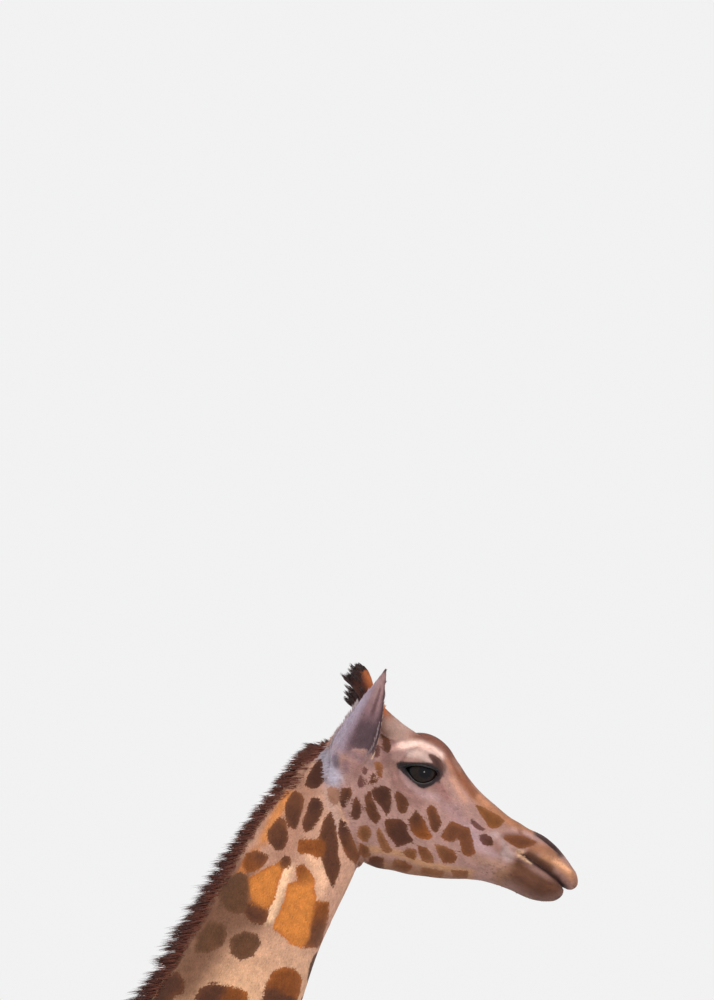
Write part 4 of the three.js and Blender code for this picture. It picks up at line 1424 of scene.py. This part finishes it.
def hoof_material():
    """Dark horn with growth rings round it, paler and scuffed towards the ground."""
    n = Nodes("hoof")
    height = n.make("SeparateXYZ", {"Vector": n.place()}, output=2)
    wear = n.ramp(n.maths("ADD", height, n.maths("MULTIPLY", n.noise(40, 4), 0.03)), 0.062, 0.012)
    colour = n.mix(wear, (0.022, 0.016, 0.013, 1), (0.075, 0.058, 0.045, 1))
    colour = n.mix(n.ramp(n.noise(90, 5), 0.4, 0.8, 0.0, 0.5), colour, (0.11, 0.09, 0.072, 1))
    bump = n.make("Bump", {"Strength": 0.4, "Distance": 0.001, "Height": n.noise(160, 5)})
    n.set(Base_Color=colour, Roughness=0.5, Normal=bump)
    return n.material


def piece_of(name, surface, material, part, *nodes):
    """A closed surface in the animal's millimetres as a piece, in place of nodes of the frame."""
    surface_points, *surface_faces = surface
    piece = make_mesh(name, metres(surface_points), surface_faces, material)
    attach(piece, "root")
    if nodes:
        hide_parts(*nodes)
    return piece


def eye_globe():
    """The left eye: rings at an angle b from its gaze, with the cornea a little prouder."""
    along, around, pole = 70, 80, 0.03
    gaze = unit(np.array([0.22, 0.97, -0.04]))
    b, a = grid_of(np.linspace(math.pi - pole, pole, along), around)
    east = unit(np.cross((0, 0, 1), gaze))
    ring = np.cos(a)[..., None] * east + np.sin(a)[..., None] * np.cross(gaze, east)
    radius = EYE_RADIUS * (1 + 0.02 * np.exp(-((b / 0.6) ** 4)))[..., None]
    rings = EYE + radius * (np.sin(b)[..., None] * ring + np.cos(b)[..., None] * gaze)
    return tube(from_head(rings).reshape(along, around, 3)), np.concatenate([b, [math.pi, 0]])


def claw(spot):
    """One toe's horn standing on the floor at a spot, with shallow growth rings round it.

    The hoof's sections, grown by 0.45 sin(40 h) at the share h of their height, and drawn in at the sole.
    """
    along, around = 44, 48
    body = Body(HOOF, normal=(0, 0, -1))
    s, angle = grid_of(np.linspace(0, body.length, along), around)
    height = 1 - s / body.length
    rings = 0.45 * np.sin(height * 40 + 0.6 * np.cos(angle)) * ease(0, 0.12, height)
    edge = -2.5 * ease(0.05, 0, height)
    surface = body.surface(s, angle, rings + edge - 0.6)
    return tube((surface + spot).reshape(along, around, 3))


EYE_PAINT, HORN = eye_material(), hoof_material()
globe, turned = eye_globe()
for name, surface in (("eye_left", globe), ("eye_right", mirrored(globe))):
    piece = piece_of(name, surface, EYE_PAINT, "eye", name)
    paint_attributes(piece.data, gaze=turned)

for name, rows, side, forward in LEGS:
    x, y, _, *_ = leg_rows(rows, side, forward)[-1]
    for toe, offset in (("outer", side * HOOF_SPREAD), ("inner", -side * HOOF_SPREAD)):
        node = f"{name}_hoof_{toe}"
        piece_of(node, claw(np.array([x + HOOF_FORWARD, y + offset, 0])), HORN, "hoof", node)

# ---- Hair ----


def hair_material():
    """Hair in the colour it is given, a little glossy, streaked along by fine noise."""
    n = Nodes("hair")
    streak = n.ramp(n.noise(420, 3), 0.3, 0.7, 0.8, 1.2)
    colour = n.mix(1.0, n.attribute("colour"), n.grey(streak), "MULTIPLY")
    n.set(Base_Color=colour, Roughness=0.55, Specular_IOR_Level=0.35, Sheen_Weight=0.1)
    return n.material


def strands(paths, radii, over):
    """Hairs as closed three-sided cones along their paths, one corner of each towards `over`.

    Returns points, quads, triangles and each point's hair, with its place from root to tip.
    """
    count, steps, _ = paths.shape
    tangent = unit(np.gradient(paths, axis=1))
    side = unit(np.cross(tangent, over[:, None]))
    up = np.cross(side, tangent)
    turn = math.pi / 2 + np.arange(3) * 2 * math.pi / 3
    ring = side[:, :, None] * np.cos(turn)[:, None] + up[:, :, None] * np.sin(turn)[:, None]
    ring = paths[:, :-1, None] + radii[:, :-1, None, None] * ring[:, :-1]
    each = (steps - 1) * 3 + 1
    hair_points = np.concatenate([ring.reshape(count, -1, 3), paths[:, -1:]], 1).reshape(-1, 3)
    quads = [
        (3 * j + i, 3 * j + 3 + i, 3 * j + 3 + (i + 1) % 3, 3 * j + (i + 1) % 3)
        for j in range(steps - 2)
        for i in range(3)
    ]
    last = 3 * (steps - 2)
    triangles = [(last + i, each - 1, last + (i + 1) % 3) for i in range(3)] + [(0, 1, 2)]
    first = (np.arange(count) * each)[:, None, None]
    quads = (np.array(quads)[None] + first).reshape(-1, 4)
    triangles = (np.array(triangles)[None] + first).reshape(-1, 3)
    along = np.concatenate([np.repeat(np.arange(steps - 1), 3), [steps - 1]]) / (steps - 1)
    return hair_points, [quads, triangles], np.repeat(np.arange(count), each), np.tile(along, count)


def bake_map(mesh, root, number, along):
    """The map OFBake: each tuft a patch 0.003 across at its root's place on the skin laid flat."""
    across = 0.003
    loops = np.empty(len(mesh.loops), np.int32)
    mesh.loops.foreach_get("vertex_index", loops)
    corner = np.arange(len(number)) - np.searchsorted(number, number)
    spread = np.stack([along, (corner % 3) / 2], -1)
    flat = (root[number] * (1 - across) + across * spread)[loops]
    layer = mesh.uv_layers.new(name="OFBake")
    layer.data.foreach_set("uv", flat.astype(np.float32).ravel())


def hair_piece(name, paths, radii, over, root_map, root_colour, tip_colour, nodes=()):
    """A piece of joined hairs, coloured from root to tip."""
    hair_points, hair_faces, number, along = strands(paths, radii, over)
    piece = make_mesh(name, metres(hair_points), hair_faces, HAIR)
    paint_attributes(piece.data, colour=lerp(root_colour[number], tip_colour[number], along[:, None]))
    bake_map(piece.data, root_map, number, along)
    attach(piece, "root")
    if nodes:
        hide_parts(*nodes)


def head_tufts(name, paths, thick, centre, root_colour, tip_colour):
    """A piece of tufts on the head, each hair's radius between two, and their map round a centre."""
    radii = tapered(random.uniform(*thick, len(paths)), paths.shape[1])
    over = unit(paths[:, 1] - paths[:, 0]) * [1, 0, -1]
    hair_piece(name, paths, radii, over, round_map(paths, centre), root_colour, tip_colour)


def tapered(thick, steps):
    """Radii at the share t of each hair from root to tip: thick (1 - 0.85 t^1.6)."""
    t = np.linspace(0, 1, steps)
    return thick[:, None] * (1 - 0.85 * t**1.6)


def curved(root, start, end, length, steps):
    """Paths from root along start, bent towards end: root + length (start (t - t^2 / 2) + end t^2 / 2)."""
    t = np.linspace(0, 1, steps)[None, :, None]
    bend = start[:, None] * (t - t * t / 2) + end[:, None] * t * t / 2
    return root[:, None] + length[:, None, None] * bend


HAIR = hair_material()


def locks(root, start, end, length, hairs, spread, gather, steps=5):
    """Hairs in locks: each leaves a disc round its lock's root and draws in towards the lock's tip."""
    count = len(root) * hairs
    root, start, end = (np.repeat(values, hairs, axis=0) for values in (root, start, end))
    length = np.repeat(length, hairs) * random.uniform(0.7, 1.05, count)
    across = unit(np.cross(start, random.normal(size=(count, 3))))
    disc = across * (spread * np.sqrt(random.uniform(0, 1, (count, 1))))
    fan = unit(end + random.normal(0, 0.06, (count, 3)))
    paths = curved(root, start, fan, length, steps)
    return paths + disc[:, None] * (1 - gather * np.linspace(0, 1, steps)[None, :, None] ** 1.2)


def round_map(paths, centre):
    """A flat map of roots seen from beside the head: forward and up from a centre, left side above."""
    across = 400
    own = (to_head(paths[:, 0]) - np.array([centre[0], 0, centre[1]])) / across
    return np.clip(np.stack([own[:, 0] + 0.5, 0.25 + 0.5 * (own[:, 1] > 0) + own[:, 2] / 2], -1), 0, 1)


def tinted(count, low, high):
    """So many colours, each at a random share of the way from one to another."""
    return lerp(low, high, random.uniform(0, 1, (count, 1)))


def mane():
    """Dark upright hair on the crest, in clumps that narrow to points and lean back down the neck."""
    count, clumps, steps = 9000, 4000, 5
    s = np.sqrt(random.uniform(0, 1, count)) * crest.length
    clump = np.floor(s / MANE_CLUMP).astype(int)
    middle = (clump + 0.5) * MANE_CLUMP + random.uniform(-2.5, 2.5, clumps)[clump]
    at = np.clip(lerp(s, middle, 0.2), 12, crest.length - 4)
    centre, tangent, side, up = crest.axes(at)
    height = crest.values(at)[:, 4]
    across = random.uniform(-1, 1, count)
    end_size = ease(-10, 160, at) * lerp(1, 0.7, ease(crest.length - 70, crest.length, at))
    root = centre + side * (across * 13)[:, None] - up * (4 + 12 * across**2)[:, None]
    ragged = random.uniform(0.78, 1.1, clumps)[clump] * random.uniform(0.72, 1.04, count)
    stand = np.interp(centre[:, 2], [2520, 2580, 2660, 2760, 2880], [1.12, 1.32, 1.1, 0.88, 0.88])
    length = (height + 9) * 1.34 * stand * end_size * ragged * (1 - 0.3 * across**2)
    length *= 1 - 0.42 * np.minimum(np.abs(at - middle) / (MANE_CLUMP / 2), 1)
    lean = random.normal(0, 0.1, count) + random.normal(0, 0.1, clumps)[clump]
    spread = (across * 0.22 + random.normal(0, 0.05, count))[:, None]
    start = unit(up - tangent * (0.42 + lean)[:, None] + side * spread)
    end = unit(up - tangent * (0.95 + lean)[:, None] + side * spread * 0.7)
    gather = (middle - at)[:, None] * tangent
    paths = curved(root, start, end, length, steps)
    paths += gather[:, None] * (0.96 * np.linspace(0, 1, steps) ** 1.4)[None, :, None]
    root_colour = tinted(count, tint(138, 70, 46), tint(98, 48, 38))
    tip_colour = tinted(count, tint(58, 38, 38), tint(84, 50, 44))
    root_map = np.stack([at / crest.length, across / 2 + 0.5], -1)
    radii = tapered(random.uniform(0.5, 0.95, count), steps)
    hair_piece("mane", paths, radii, side, root_map, root_colour, tip_colour, nodes=("mane",))


def mane_foot():
    """Shorter reddish hair up both flanks of the crest, laid over the mane's foot."""
    count, stations, steps = 3200, 160, 5
    grid = np.linspace(0, crest.length, stations)
    centre, tangent, side, up = crest.axes(grid)
    flank = np.abs(points[:, 1]) / lerp(35, 54, ease(2800, 2870, points[:, 2]))
    behind = place.on("skull") & (to_head(points)[:, 0] < -60)
    upper = place.on("neck") & (np.sin(place.angle) > 0)
    near = (upper | behind) & (flank > 0.1) & (flank < 1) & (points[:, 2] > 1900)
    near &= points[:, 2] < centre[:, 2].max() - 6
    chosen = random.choice(np.flatnonzero(near), count)
    row = np.interp(points[chosen, 2], centre[:, 2], np.arange(stations)).astype(int)
    tangent, side, up = tangent[row], side[row], up[row]
    root = points[chosen] - normals[chosen] * 1.5 + tangent * random.normal(0, 2.5, (count, 1))
    lean = (0.55 + random.normal(0, 0.14, count))[:, None]
    start = unit(up - tangent * lean + normals[chosen] * 0.22)
    end = unit(up - tangent * (lean + 0.3) + normals[chosen] * 0.1)
    length = random.uniform(20, 34, count) * lerp(1, 0.7, ease(0.6, 1, flank[chosen]))
    paths = curved(root, start, end, length, steps)
    root_colour = tinted(count, tint(132, 68, 42), tint(100, 50, 36))
    tip_colour = tinted(count, tint(78, 38, 32), tint(104, 54, 38))
    root_map = np.stack([grid[row] / crest.length, np.cos(place.angle[chosen]) / 2 + 0.5], -1)
    radii = tapered(random.uniform(0.5, 0.9, count), steps)
    hair_piece("mane_foot", paths, radii, side, root_map, root_colour, tip_colour)


def tail_hair():
    """Long black hair from the tail's end, wavy, drawn together at the bottom."""
    body = Body(TAIL_TUFT, (40, 30))
    count, steps = 1500, 9
    s = random.uniform(0, 0.42, count) ** 1.3 * body.length
    reach = body.length * random.uniform(0.62, 0.985, count)
    a = random.uniform(0, 2 * math.pi, count)
    depth = np.sqrt(random.uniform(0.03, 0.9, count))
    t = np.linspace(0, 1, steps)
    at = s[:, None] + (np.maximum(reach, s + 160).clip(max=body.length - 5) - s)[:, None] * t
    out = depth[:, None] * lerp(0.4, 1, np.minimum(1, t * 3))
    shell = body.surface(at.ravel(), np.repeat(a, steps)).reshape(count, steps, 3)
    core = body.values(at.ravel())[:, :3].reshape(count, steps, 3)
    sway = 3 * np.sin(t * random.uniform(3, 8, (count, 1)) + random.uniform(0, 6, (count, 1)))
    paths = core + (shell - core) * out[..., None] + np.stack([sway, sway[::-1], sway * 0], -1) * t[:, None]
    over = unit(shell[:, 0] - core[:, 0])
    root_colour = np.tile(tint(44, 32, 32), (count, 1)) * random.uniform(0.7, 1.3, (count, 1))
    root_map = np.stack([s / body.length, a / (2 * math.pi)], -1)
    radii = tapered(random.uniform(0.9, 1.6, count), steps)
    hair_piece("tail_tuft", paths, radii, over, root_map, root_colour, root_colour * 0.8, ("tail_tuft",))


def horn_tufts():
    """Black hair that stands from the ossicones' tips, up and back, in ragged locks."""
    count, hairs = 60, 26
    paths = []
    for body in ossicones:
        a = random.uniform(0, 2 * math.pi, count)
        behind = ease(-0.5, 0.6, np.sin(a))
        s = random.uniform(lerp(0.93, 0.72, behind), 0.985) * body.length
        root = body.surface(s, a, -2.0)
        _, tangent, _, _ = body.axes(s)
        out = unit(root - from_head(body.values(s)[:, :3]))
        along = turned_from_head(tangent)
        back = turned_from_head(np.array([[-0.75, 0.0, 0.25]]))
        start = unit(along * 0.35 + out * 0.45 + back * 1.1)
        end = unit(along * 0.8 + back * 1.3)
        length = lerp(13, 25, ease(0.76, 0.95, s / body.length)) * random.uniform(0.6, 1.1, count)
        length *= lerp(0.55, 1, behind)
        paths.append(locks(root, start, end, length, hairs, 4.2, 0.45))
    paths = np.concatenate(paths)
    dark = tinted(len(paths), tint(44, 32, 34), tint(84, 52, 46))
    head_tufts("ossicone_tufts", paths, (0.3, 0.55), (-40, 160), dark, dark * 0.9)


def ear_hair():
    """Pale hair along the ears' back edges and at their feet, and across the mouth of each cup."""
    paths, shades = [], []
    for side in (1, -1):
        flip = np.array([1, side, 1])
        upward = unit(turned_from_head(EAR_AXIS))
        for count, low, high, a, out, reach, colour in (
            # how many locks, from where to where up the ear, across it, direction, length, and tint
            (170, 0.02, 0.62, -0.96, (-0.75, 0.2, -0.05), 11, (208, 186, 188)),
            (90, 0.1, 0.5, 0.9, (-0.5, 0.9, 0.1), 15, (176, 152, 156)),
            (40, 0.06, 0.2, 0.2, (-0.2, 0.9, 0.3), 13, (190, 162, 160)),
        ):
            t = random.uniform(low, high, count)
            root = ear_point(t, np.full(count, a), np.full(count, 2.0))
            lean = turned_from_head(np.array([out]))
            start = unit(upward * 0.8 + lean + random.normal(0, 0.12, (count, 3)))
            end = unit(upward * 1.3 + lean * 0.5 + random.normal(0, 0.12, (count, 3)))
            length = random.uniform(0.6, 1.1, count) * reach
            hairs = locks(root * flip, start * flip, end * flip, length, 7, 1.6, 0.6, 4)
            paths.append(hairs)
            shades.append(tinted(len(hairs), tint(*colour) * 0.72, tint(*colour)))
    paths, shades = np.concatenate(paths), np.concatenate(shades)
    head_tufts("ear_hair", paths, (0.22, 0.4), (-20, 80), shades, shades)


def whiskers():
    """Cream tufts at the mouth's corners, dark stubble on the chin and sparse bristles on the lips."""
    groups = [
        # how many locks, hairs in each, the area's middle and reach, length, direction, and tint
        (8, 22, (354, -4), (5, 3), 12, (0.9, 0.3, 0.25), (240, 202, 172)),
        (12, 22, (364, -12), (9, 3), 13, (1.0, 0.3, -0.1), (236, 192, 156)),
        (120, 3, (366, -54), (24, 16), 7, (-0.7, 0.5, -0.5), (88, 58, 46)),
        (90, 3, (330, -60), (34, 16), 6, (-0.8, 0.45, -0.4), (120, 84, 62)),
        (120, 2, (420, -52), (30, 16), 5, (0.1, 0.6, -0.7), (70, 46, 36)),
        (110, 2, (424, 6), (36, 14), 4, (0.3, 0.8, -0.3), (120, 78, 54)),
    ]
    paths, shades = [], []
    for count, hairs, middle, reach, length, way, colour in groups:
        u = middle[0] + random.normal(0, 0.5, count) * reach[0]
        w = middle[1] + random.normal(0, 0.5, count) * reach[1]
        side = random.choice([1, -1], count)
        root, out = on_skin(u, w, side)
        lean = turned_from_head(np.array(way) * np.stack([np.ones(count), side, np.ones(count)], -1))
        start = unit(out + lean * 0.5 + random.normal(0, 0.15, (count, 3)))
        end = unit(out * 0.3 + lean * 1.2 + random.normal(0, 0.15, (count, 3)))
        spread = 2.4 if hairs > 9 else 1.4
        length = length * random.uniform(0.6, 1.2, count)
        hairs = locks(root - out, start, end, length, hairs, spread, 0.75, 4)
        paths.append(hairs)
        shades.append(tinted(len(hairs), tint(*colour) * 0.75, tint(*colour)))
    paths, shades = np.concatenate(paths), np.concatenate(shades)
    head_tufts("whiskers", paths, (0.18, 0.34), (380, -20), shades, shades)


def on_skin(u, w, side):
    """The skin's point and normal nearest to each u and w on one side of the head."""
    own = to_head(points)
    near = np.flatnonzero((own[:, 0] > 200) & (place.body < len(BODIES)))
    spots = np.stack([u, side * 60.0, w], -1)
    gap = np.linalg.norm((own[near][None] - spots[:, None]) * [1, 0.12, 1], axis=-1)
    gap += np.where(own[near][None, :, 1] * side[:, None] > 0, 0, 1000)
    chosen = near[gap.argmin(1)]
    return points[chosen], normals[chosen]


def lid_rim(centre_line, radius):
    """A closed ring of round section along a closed line of points."""
    count, around = len(centre_line), 8
    run = unit(np.roll(centre_line, -1, 0) - np.roll(centre_line, 1, 0))
    out = unit(centre_line - from_head(EYE))
    across = np.cross(run, out)
    turn = np.arange(around) * 2 * math.pi / around
    section = out[:, None] * np.cos(turn)[:, None] + across[:, None] * np.sin(turn)[:, None]
    rings = centre_line[:, None] + radius * section
    row, column = np.indices((count, around))
    ahead, beside = (row + 1) % count, (column + 1) % around
    corners = [(row, column), (ahead, column), (ahead, beside), (row, beside)]
    corners = [i * around + j for i, j in corners]
    return rings.reshape(-1, 3), np.stack(corners, -1).reshape(-1, 4), np.empty((0, 3), int)


def on_globe(outline, count, radius):
    """Points along lids' outlines, lifted on to a ball round the left eye."""
    outline = np.array(outline, float)
    at = way_along(outline)
    ahead, above = through(at, outline, np.linspace(0, at[-1], count)).T
    return from_head(EYE + np.stack([ahead, np.sqrt(radius**2 - ahead**2 - above**2), above], -1))


def lids():
    """Dark wet rims round the eyes, and lashes that droop from the upper ones."""
    line = on_globe(LOWER_LID[:-1] + UPPER_LID, 97, EYE_RADIUS + 2.4)[:-1]
    rim = lid_rim(line, 1.7)
    for name, surface in (("lid_rim_left", rim), ("lid_rim_right", mirrored(rim))):
        piece_of(name, surface, RIM, "hide")
    count, steps = 66, 6
    root = on_globe(UPPER_LID, count, EYE_RADIUS + 3.2)
    out = unit(root - from_head(EYE))
    along = np.linspace(-1, 1, count)[:, None]
    down, ahead = turned_from_head(np.array([[0.0, 0, -1]])), turned_from_head(np.array([[1.0, 0, 0]]))
    start = unit(out + ahead * along * 0.3 + random.normal(0, 0.06, (count, 3)))
    end = unit(out * 0.8 + down * 0.9 + ahead * along * 0.5 + random.normal(0, 0.06, (count, 3)))
    lashes = curved(root, start, end, random.uniform(12, 19, count), steps)
    paths = np.concatenate([lashes, lashes * [1, -1, 1]])
    dark = np.tile(tint(36, 30, 32), (len(paths), 1))
    radii = tapered(random.uniform(0.3, 0.42, len(paths)), steps)
    over = unit(paths[:, 0] - from_head(EYE))
    hair_piece("eyelashes", paths, radii, over, round_map(paths, (130, 50)), dark, dark)


def rim_material():
    """The lids' wet dark edge."""
    n = Nodes("lid_rim")
    n.set(Base_Color=(0.02, 0.014, 0.015, 1), Roughness=0.35)
    return n.material


RIM = rim_material()
mane()
tail_hair()
mane_foot()
horn_tufts()
ear_hair()
whiskers()
lids()

# ---- Short coat ----


def hair_lengths(points, place):
    """How long the coat is: long on the trunk, short on the legs and head, shortest on muzzle and lids."""
    u, v, w = to_head(points).T
    z = points[:, 2]
    length = lerp(17, 11, ease(1900, 2500, z))
    length = np.where(place.on(*legs), lerp(8, 16, ease(600, 1500, z)), length)
    length = np.where(place.on("tail"), 12, length)
    face = lerp(8.5, 5, ease(180, 340, u))
    face = np.where(place.on("skull", "jaw"), face, 8)
    face = np.where(place.on("ear"), lerp(8, 3.5, ease(0.8, 0.97, place.along)), face)
    face = np.where(place.on(*HORNS), lerp(8, 15, ease(60, -30, u)), face)
    from_eye = np.linalg.norm(np.stack([u, np.abs(v), w], -1) - EYE, axis=1)
    face = lerp(3.2, face, ease(EYE_RADIUS, 60, from_eye))
    length = np.where(place.on(*HEAD_PARTS), face, length)
    ruff = [(-46, 22), (-30, -12), (-8, -28)]  # the longer hair round the ear's foot
    foot = np.exp(-((distance_to_path(np.stack([u, w], -1), ruff) / 16) ** 2))
    return lerp(length, 15, foot)


def bare(points):
    """Where no coat grows: in the sockets, nostrils and mouth, and below the coronets."""
    own = to_head(points)
    own[:, 1] = np.abs(own[:, 1])
    socket = np.linalg.norm(own - EYE, axis=1) < EYE_RADIUS + 2.2
    nostril = distance_to_path(own, NOSTRIL) < 8.5
    mouth = distance_to_path(own[:, [0, 2]], MOUTH) < 3
    return socket | nostril | mouth & (own[:, 0] > 340) | (points[:, 2] < 70)


def coat_piece(name, members, count):
    """So many tufts over the faces of part of the skin, each a flat four-sided thorn along the lie.

    A face gets tufts by its area over the coat's length^1.6. A thorn's corners are two beside its root,
    a ridge 0.38 of the way along it, and its tip, all with the skin's values at the root.
    """
    corners = points[faces]
    area = np.linalg.norm(np.cross(corners[:, 1] - corners[:, 0], corners[:, 2] - corners[:, 0]), axis=1)
    size = LENGTHS[faces].mean(1)
    weight = np.where(members[faces].all(1), area / size**1.6, 0)
    total = np.cumsum(weight)
    chosen = np.searchsorted(total, random.uniform(0, total[-1], count))
    a, b = np.sqrt(random.uniform(0, 1, count)), random.uniform(0, 1, count)
    share = np.stack([1 - a, a * (1 - b), a * b], -1)[:, :, None]

    def mix(values):
        """The skin's values at the tufts' places on its faces."""
        return (values[faces[chosen]].reshape(count, 3, -1) * share).sum(1)

    root, normal, lie = mix(points), unit(mix(normals)), mix(place.lie)
    nearest = faces[chosen, share[:, :, 0].argmax(1)]
    side = unit(np.cross(normal, lie))
    turn = random.normal(0, 0.13, count)[:, None] + 0.16 * wobble(root, 24)[:, :1]
    ahead = unit(np.cross(side, normal) + side * turn)
    side = np.cross(normal, ahead)
    length = (LENGTHS[nearest] * random.uniform(0.7, 1.25, count))[:, None]
    width = 0.075 * length * random.uniform(0.8, 1.3, (count, 1))
    stand = np.where(place.on(*HORNS)[nearest], 2.2, 1.0)[:, None]
    lift = random.uniform(0.02, 0.11, (count, 1)) * length * stand
    low = root - normal * 0.3
    ridge = root + ahead * length * 0.38 + normal * (lift * 0.6 + width * 0.5)
    tip = root + ahead * length + normal * lift
    tufts = np.stack([low - side * width, low + side * width, ridge, tip], 1).reshape(-1, 3)
    thorn = np.array([(0, 2, 3), (2, 1, 3), (0, 1, 2), (1, 0, 3)])
    tuft_faces = (thorn[None] + 4 * np.arange(count)[:, None, None]).reshape(-1, 3)
    piece = make_mesh(name, metres(tufts), tuft_faces, HIDE, smooth=False)
    tone = 1 + 0.12 * random.normal(size=count) + 0.05 * wobble(root, 9)[:, 0]
    soft = lerp(0.05, 0.1, ease(8, 14, LENGTHS[nearest])) * LENGTHS[nearest] * random.normal(size=count)
    own_depth, own_tints = marks(root)
    values = {
        "ground": mix(ground),
        "patch": patch_colour(root, own_depth, own_tints),
        "mark": np.minimum(own_depth, mix(ceiling)[:, 0]) + soft,
        "shade": np.clip(tone, 0.6, 1.4),
    }
    paint_attributes(piece.data, **{key: np.repeat(value, 4, axis=0) for key, value in values.items()})
    number = np.repeat(np.arange(count), 4)
    bake_map(piece.data, FLAT[nearest], number, np.tile([0, 0, 0.4, 1.0], count))
    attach(piece, "root")


def skin_laid_flat(place):
    """The skin unwrapped: a strip for each body, along it across the strip and round it up the map."""
    lengths = np.array([body.length for _, body, _ in BODIES] + [1.0])
    turned = place.angle / (2 * math.pi) + 0.5
    across = np.where(place.on("ear"), (place.angle + 1) / 4, turned)
    along = np.clip(place.along / lengths[place.body], 0, 1)
    return np.stack([(place.body + 0.02 + 0.96 * along) / len(NAMES), np.clip(across, 0, 1)], -1)


LENGTHS = hair_lengths(points, place)
FLAT = skin_laid_flat(place)
haired = ~bare(points)
left = points[:, 1] > 0
of_head = place.on(*HEAD_PARTS)
of_legs = place.on(*legs)
high = ~of_head & (points[:, 2] > UPPER_NECK)
shoulder = ~high & place.on("neck")
rest = ~of_head & ~of_legs & ~high & ~shoulder
COAT = [
    # name, which points of the skin it covers, and how many tufts it has
    ("coat_head_left", of_head & left, 40000),
    ("coat_head_right", of_head & ~left, 48000),
    ("coat_neck_left", high & left, 31000),
    ("coat_neck_right", high & ~left, 42000),
    ("coat_shoulder", shoulder, 28000),
    ("coat_trunk_left", rest & left, 24500),
    ("coat_trunk_right", rest & ~left, 24500),
    ("coat_legs_left", of_legs & left, 17000),
    ("coat_legs_right", of_legs & ~left, 17000),
]
for name, members, count in COAT:
    coat_piece(name, members & haired, count)

# ---- Light, floor and camera ----

world = bpy.data.worlds.new("soft_light")
world.use_nodes = True
world.node_tree.nodes["Background"].inputs["Color"].default_value = (0.885, 0.885, 0.885, 1)
bpy.context.scene.world = world
bpy.context.scene.view_settings.view_transform = "Standard"


def area_light(name, spot, aim, size, power):
    """A square light at a spot, turned towards its aim, that the camera doesn't see."""
    light = bpy.data.lights.new(name, "AREA")
    light.size, light.energy = size, power
    lamp = bpy.data.objects.new(name, light)
    lamp.location = spot
    direction = Vector(aim) - Vector(spot)
    lamp.rotation_euler = direction.to_track_quat("-Z", "Y").to_euler()
    lamp.visible_camera = False
    bpy.context.scene.collection.objects.link(lamp)


area_light("key", (3.0, -3.5, 6.5), (0.6, 0, 2.6), 2.5, 120)
area_light("front", (1.95, -3.9, 2.75), (0.8, 0, 2.87), 0.5, 17)

FLOOR = 9 * np.array([(-1, -1, 0), (1, -1, 0), (1, 1, 0), (-1, 1, 0)], float)
floor = make_mesh("floor", FLOOR, np.array([(0, 1, 2, 3)]))
floor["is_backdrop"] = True

lens = bpy.data.cameras.new("camera")
lens.lens, lens.sensor_width = 116.7, 36
camera = bpy.data.objects.new("camera", lens)
camera.location = (0.6841, -6.0, 1.4)
camera.rotation_euler = (math.radians(108.7683), 0, 0)
bpy.context.scene.collection.objects.link(camera)
bpy.context.scene.camera = camera

sizes = {"cad": cad_bounds, "scene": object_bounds()}
sizes = {name: [[float(value) for value in corner] for corner in box] for name, box in sizes.items()}
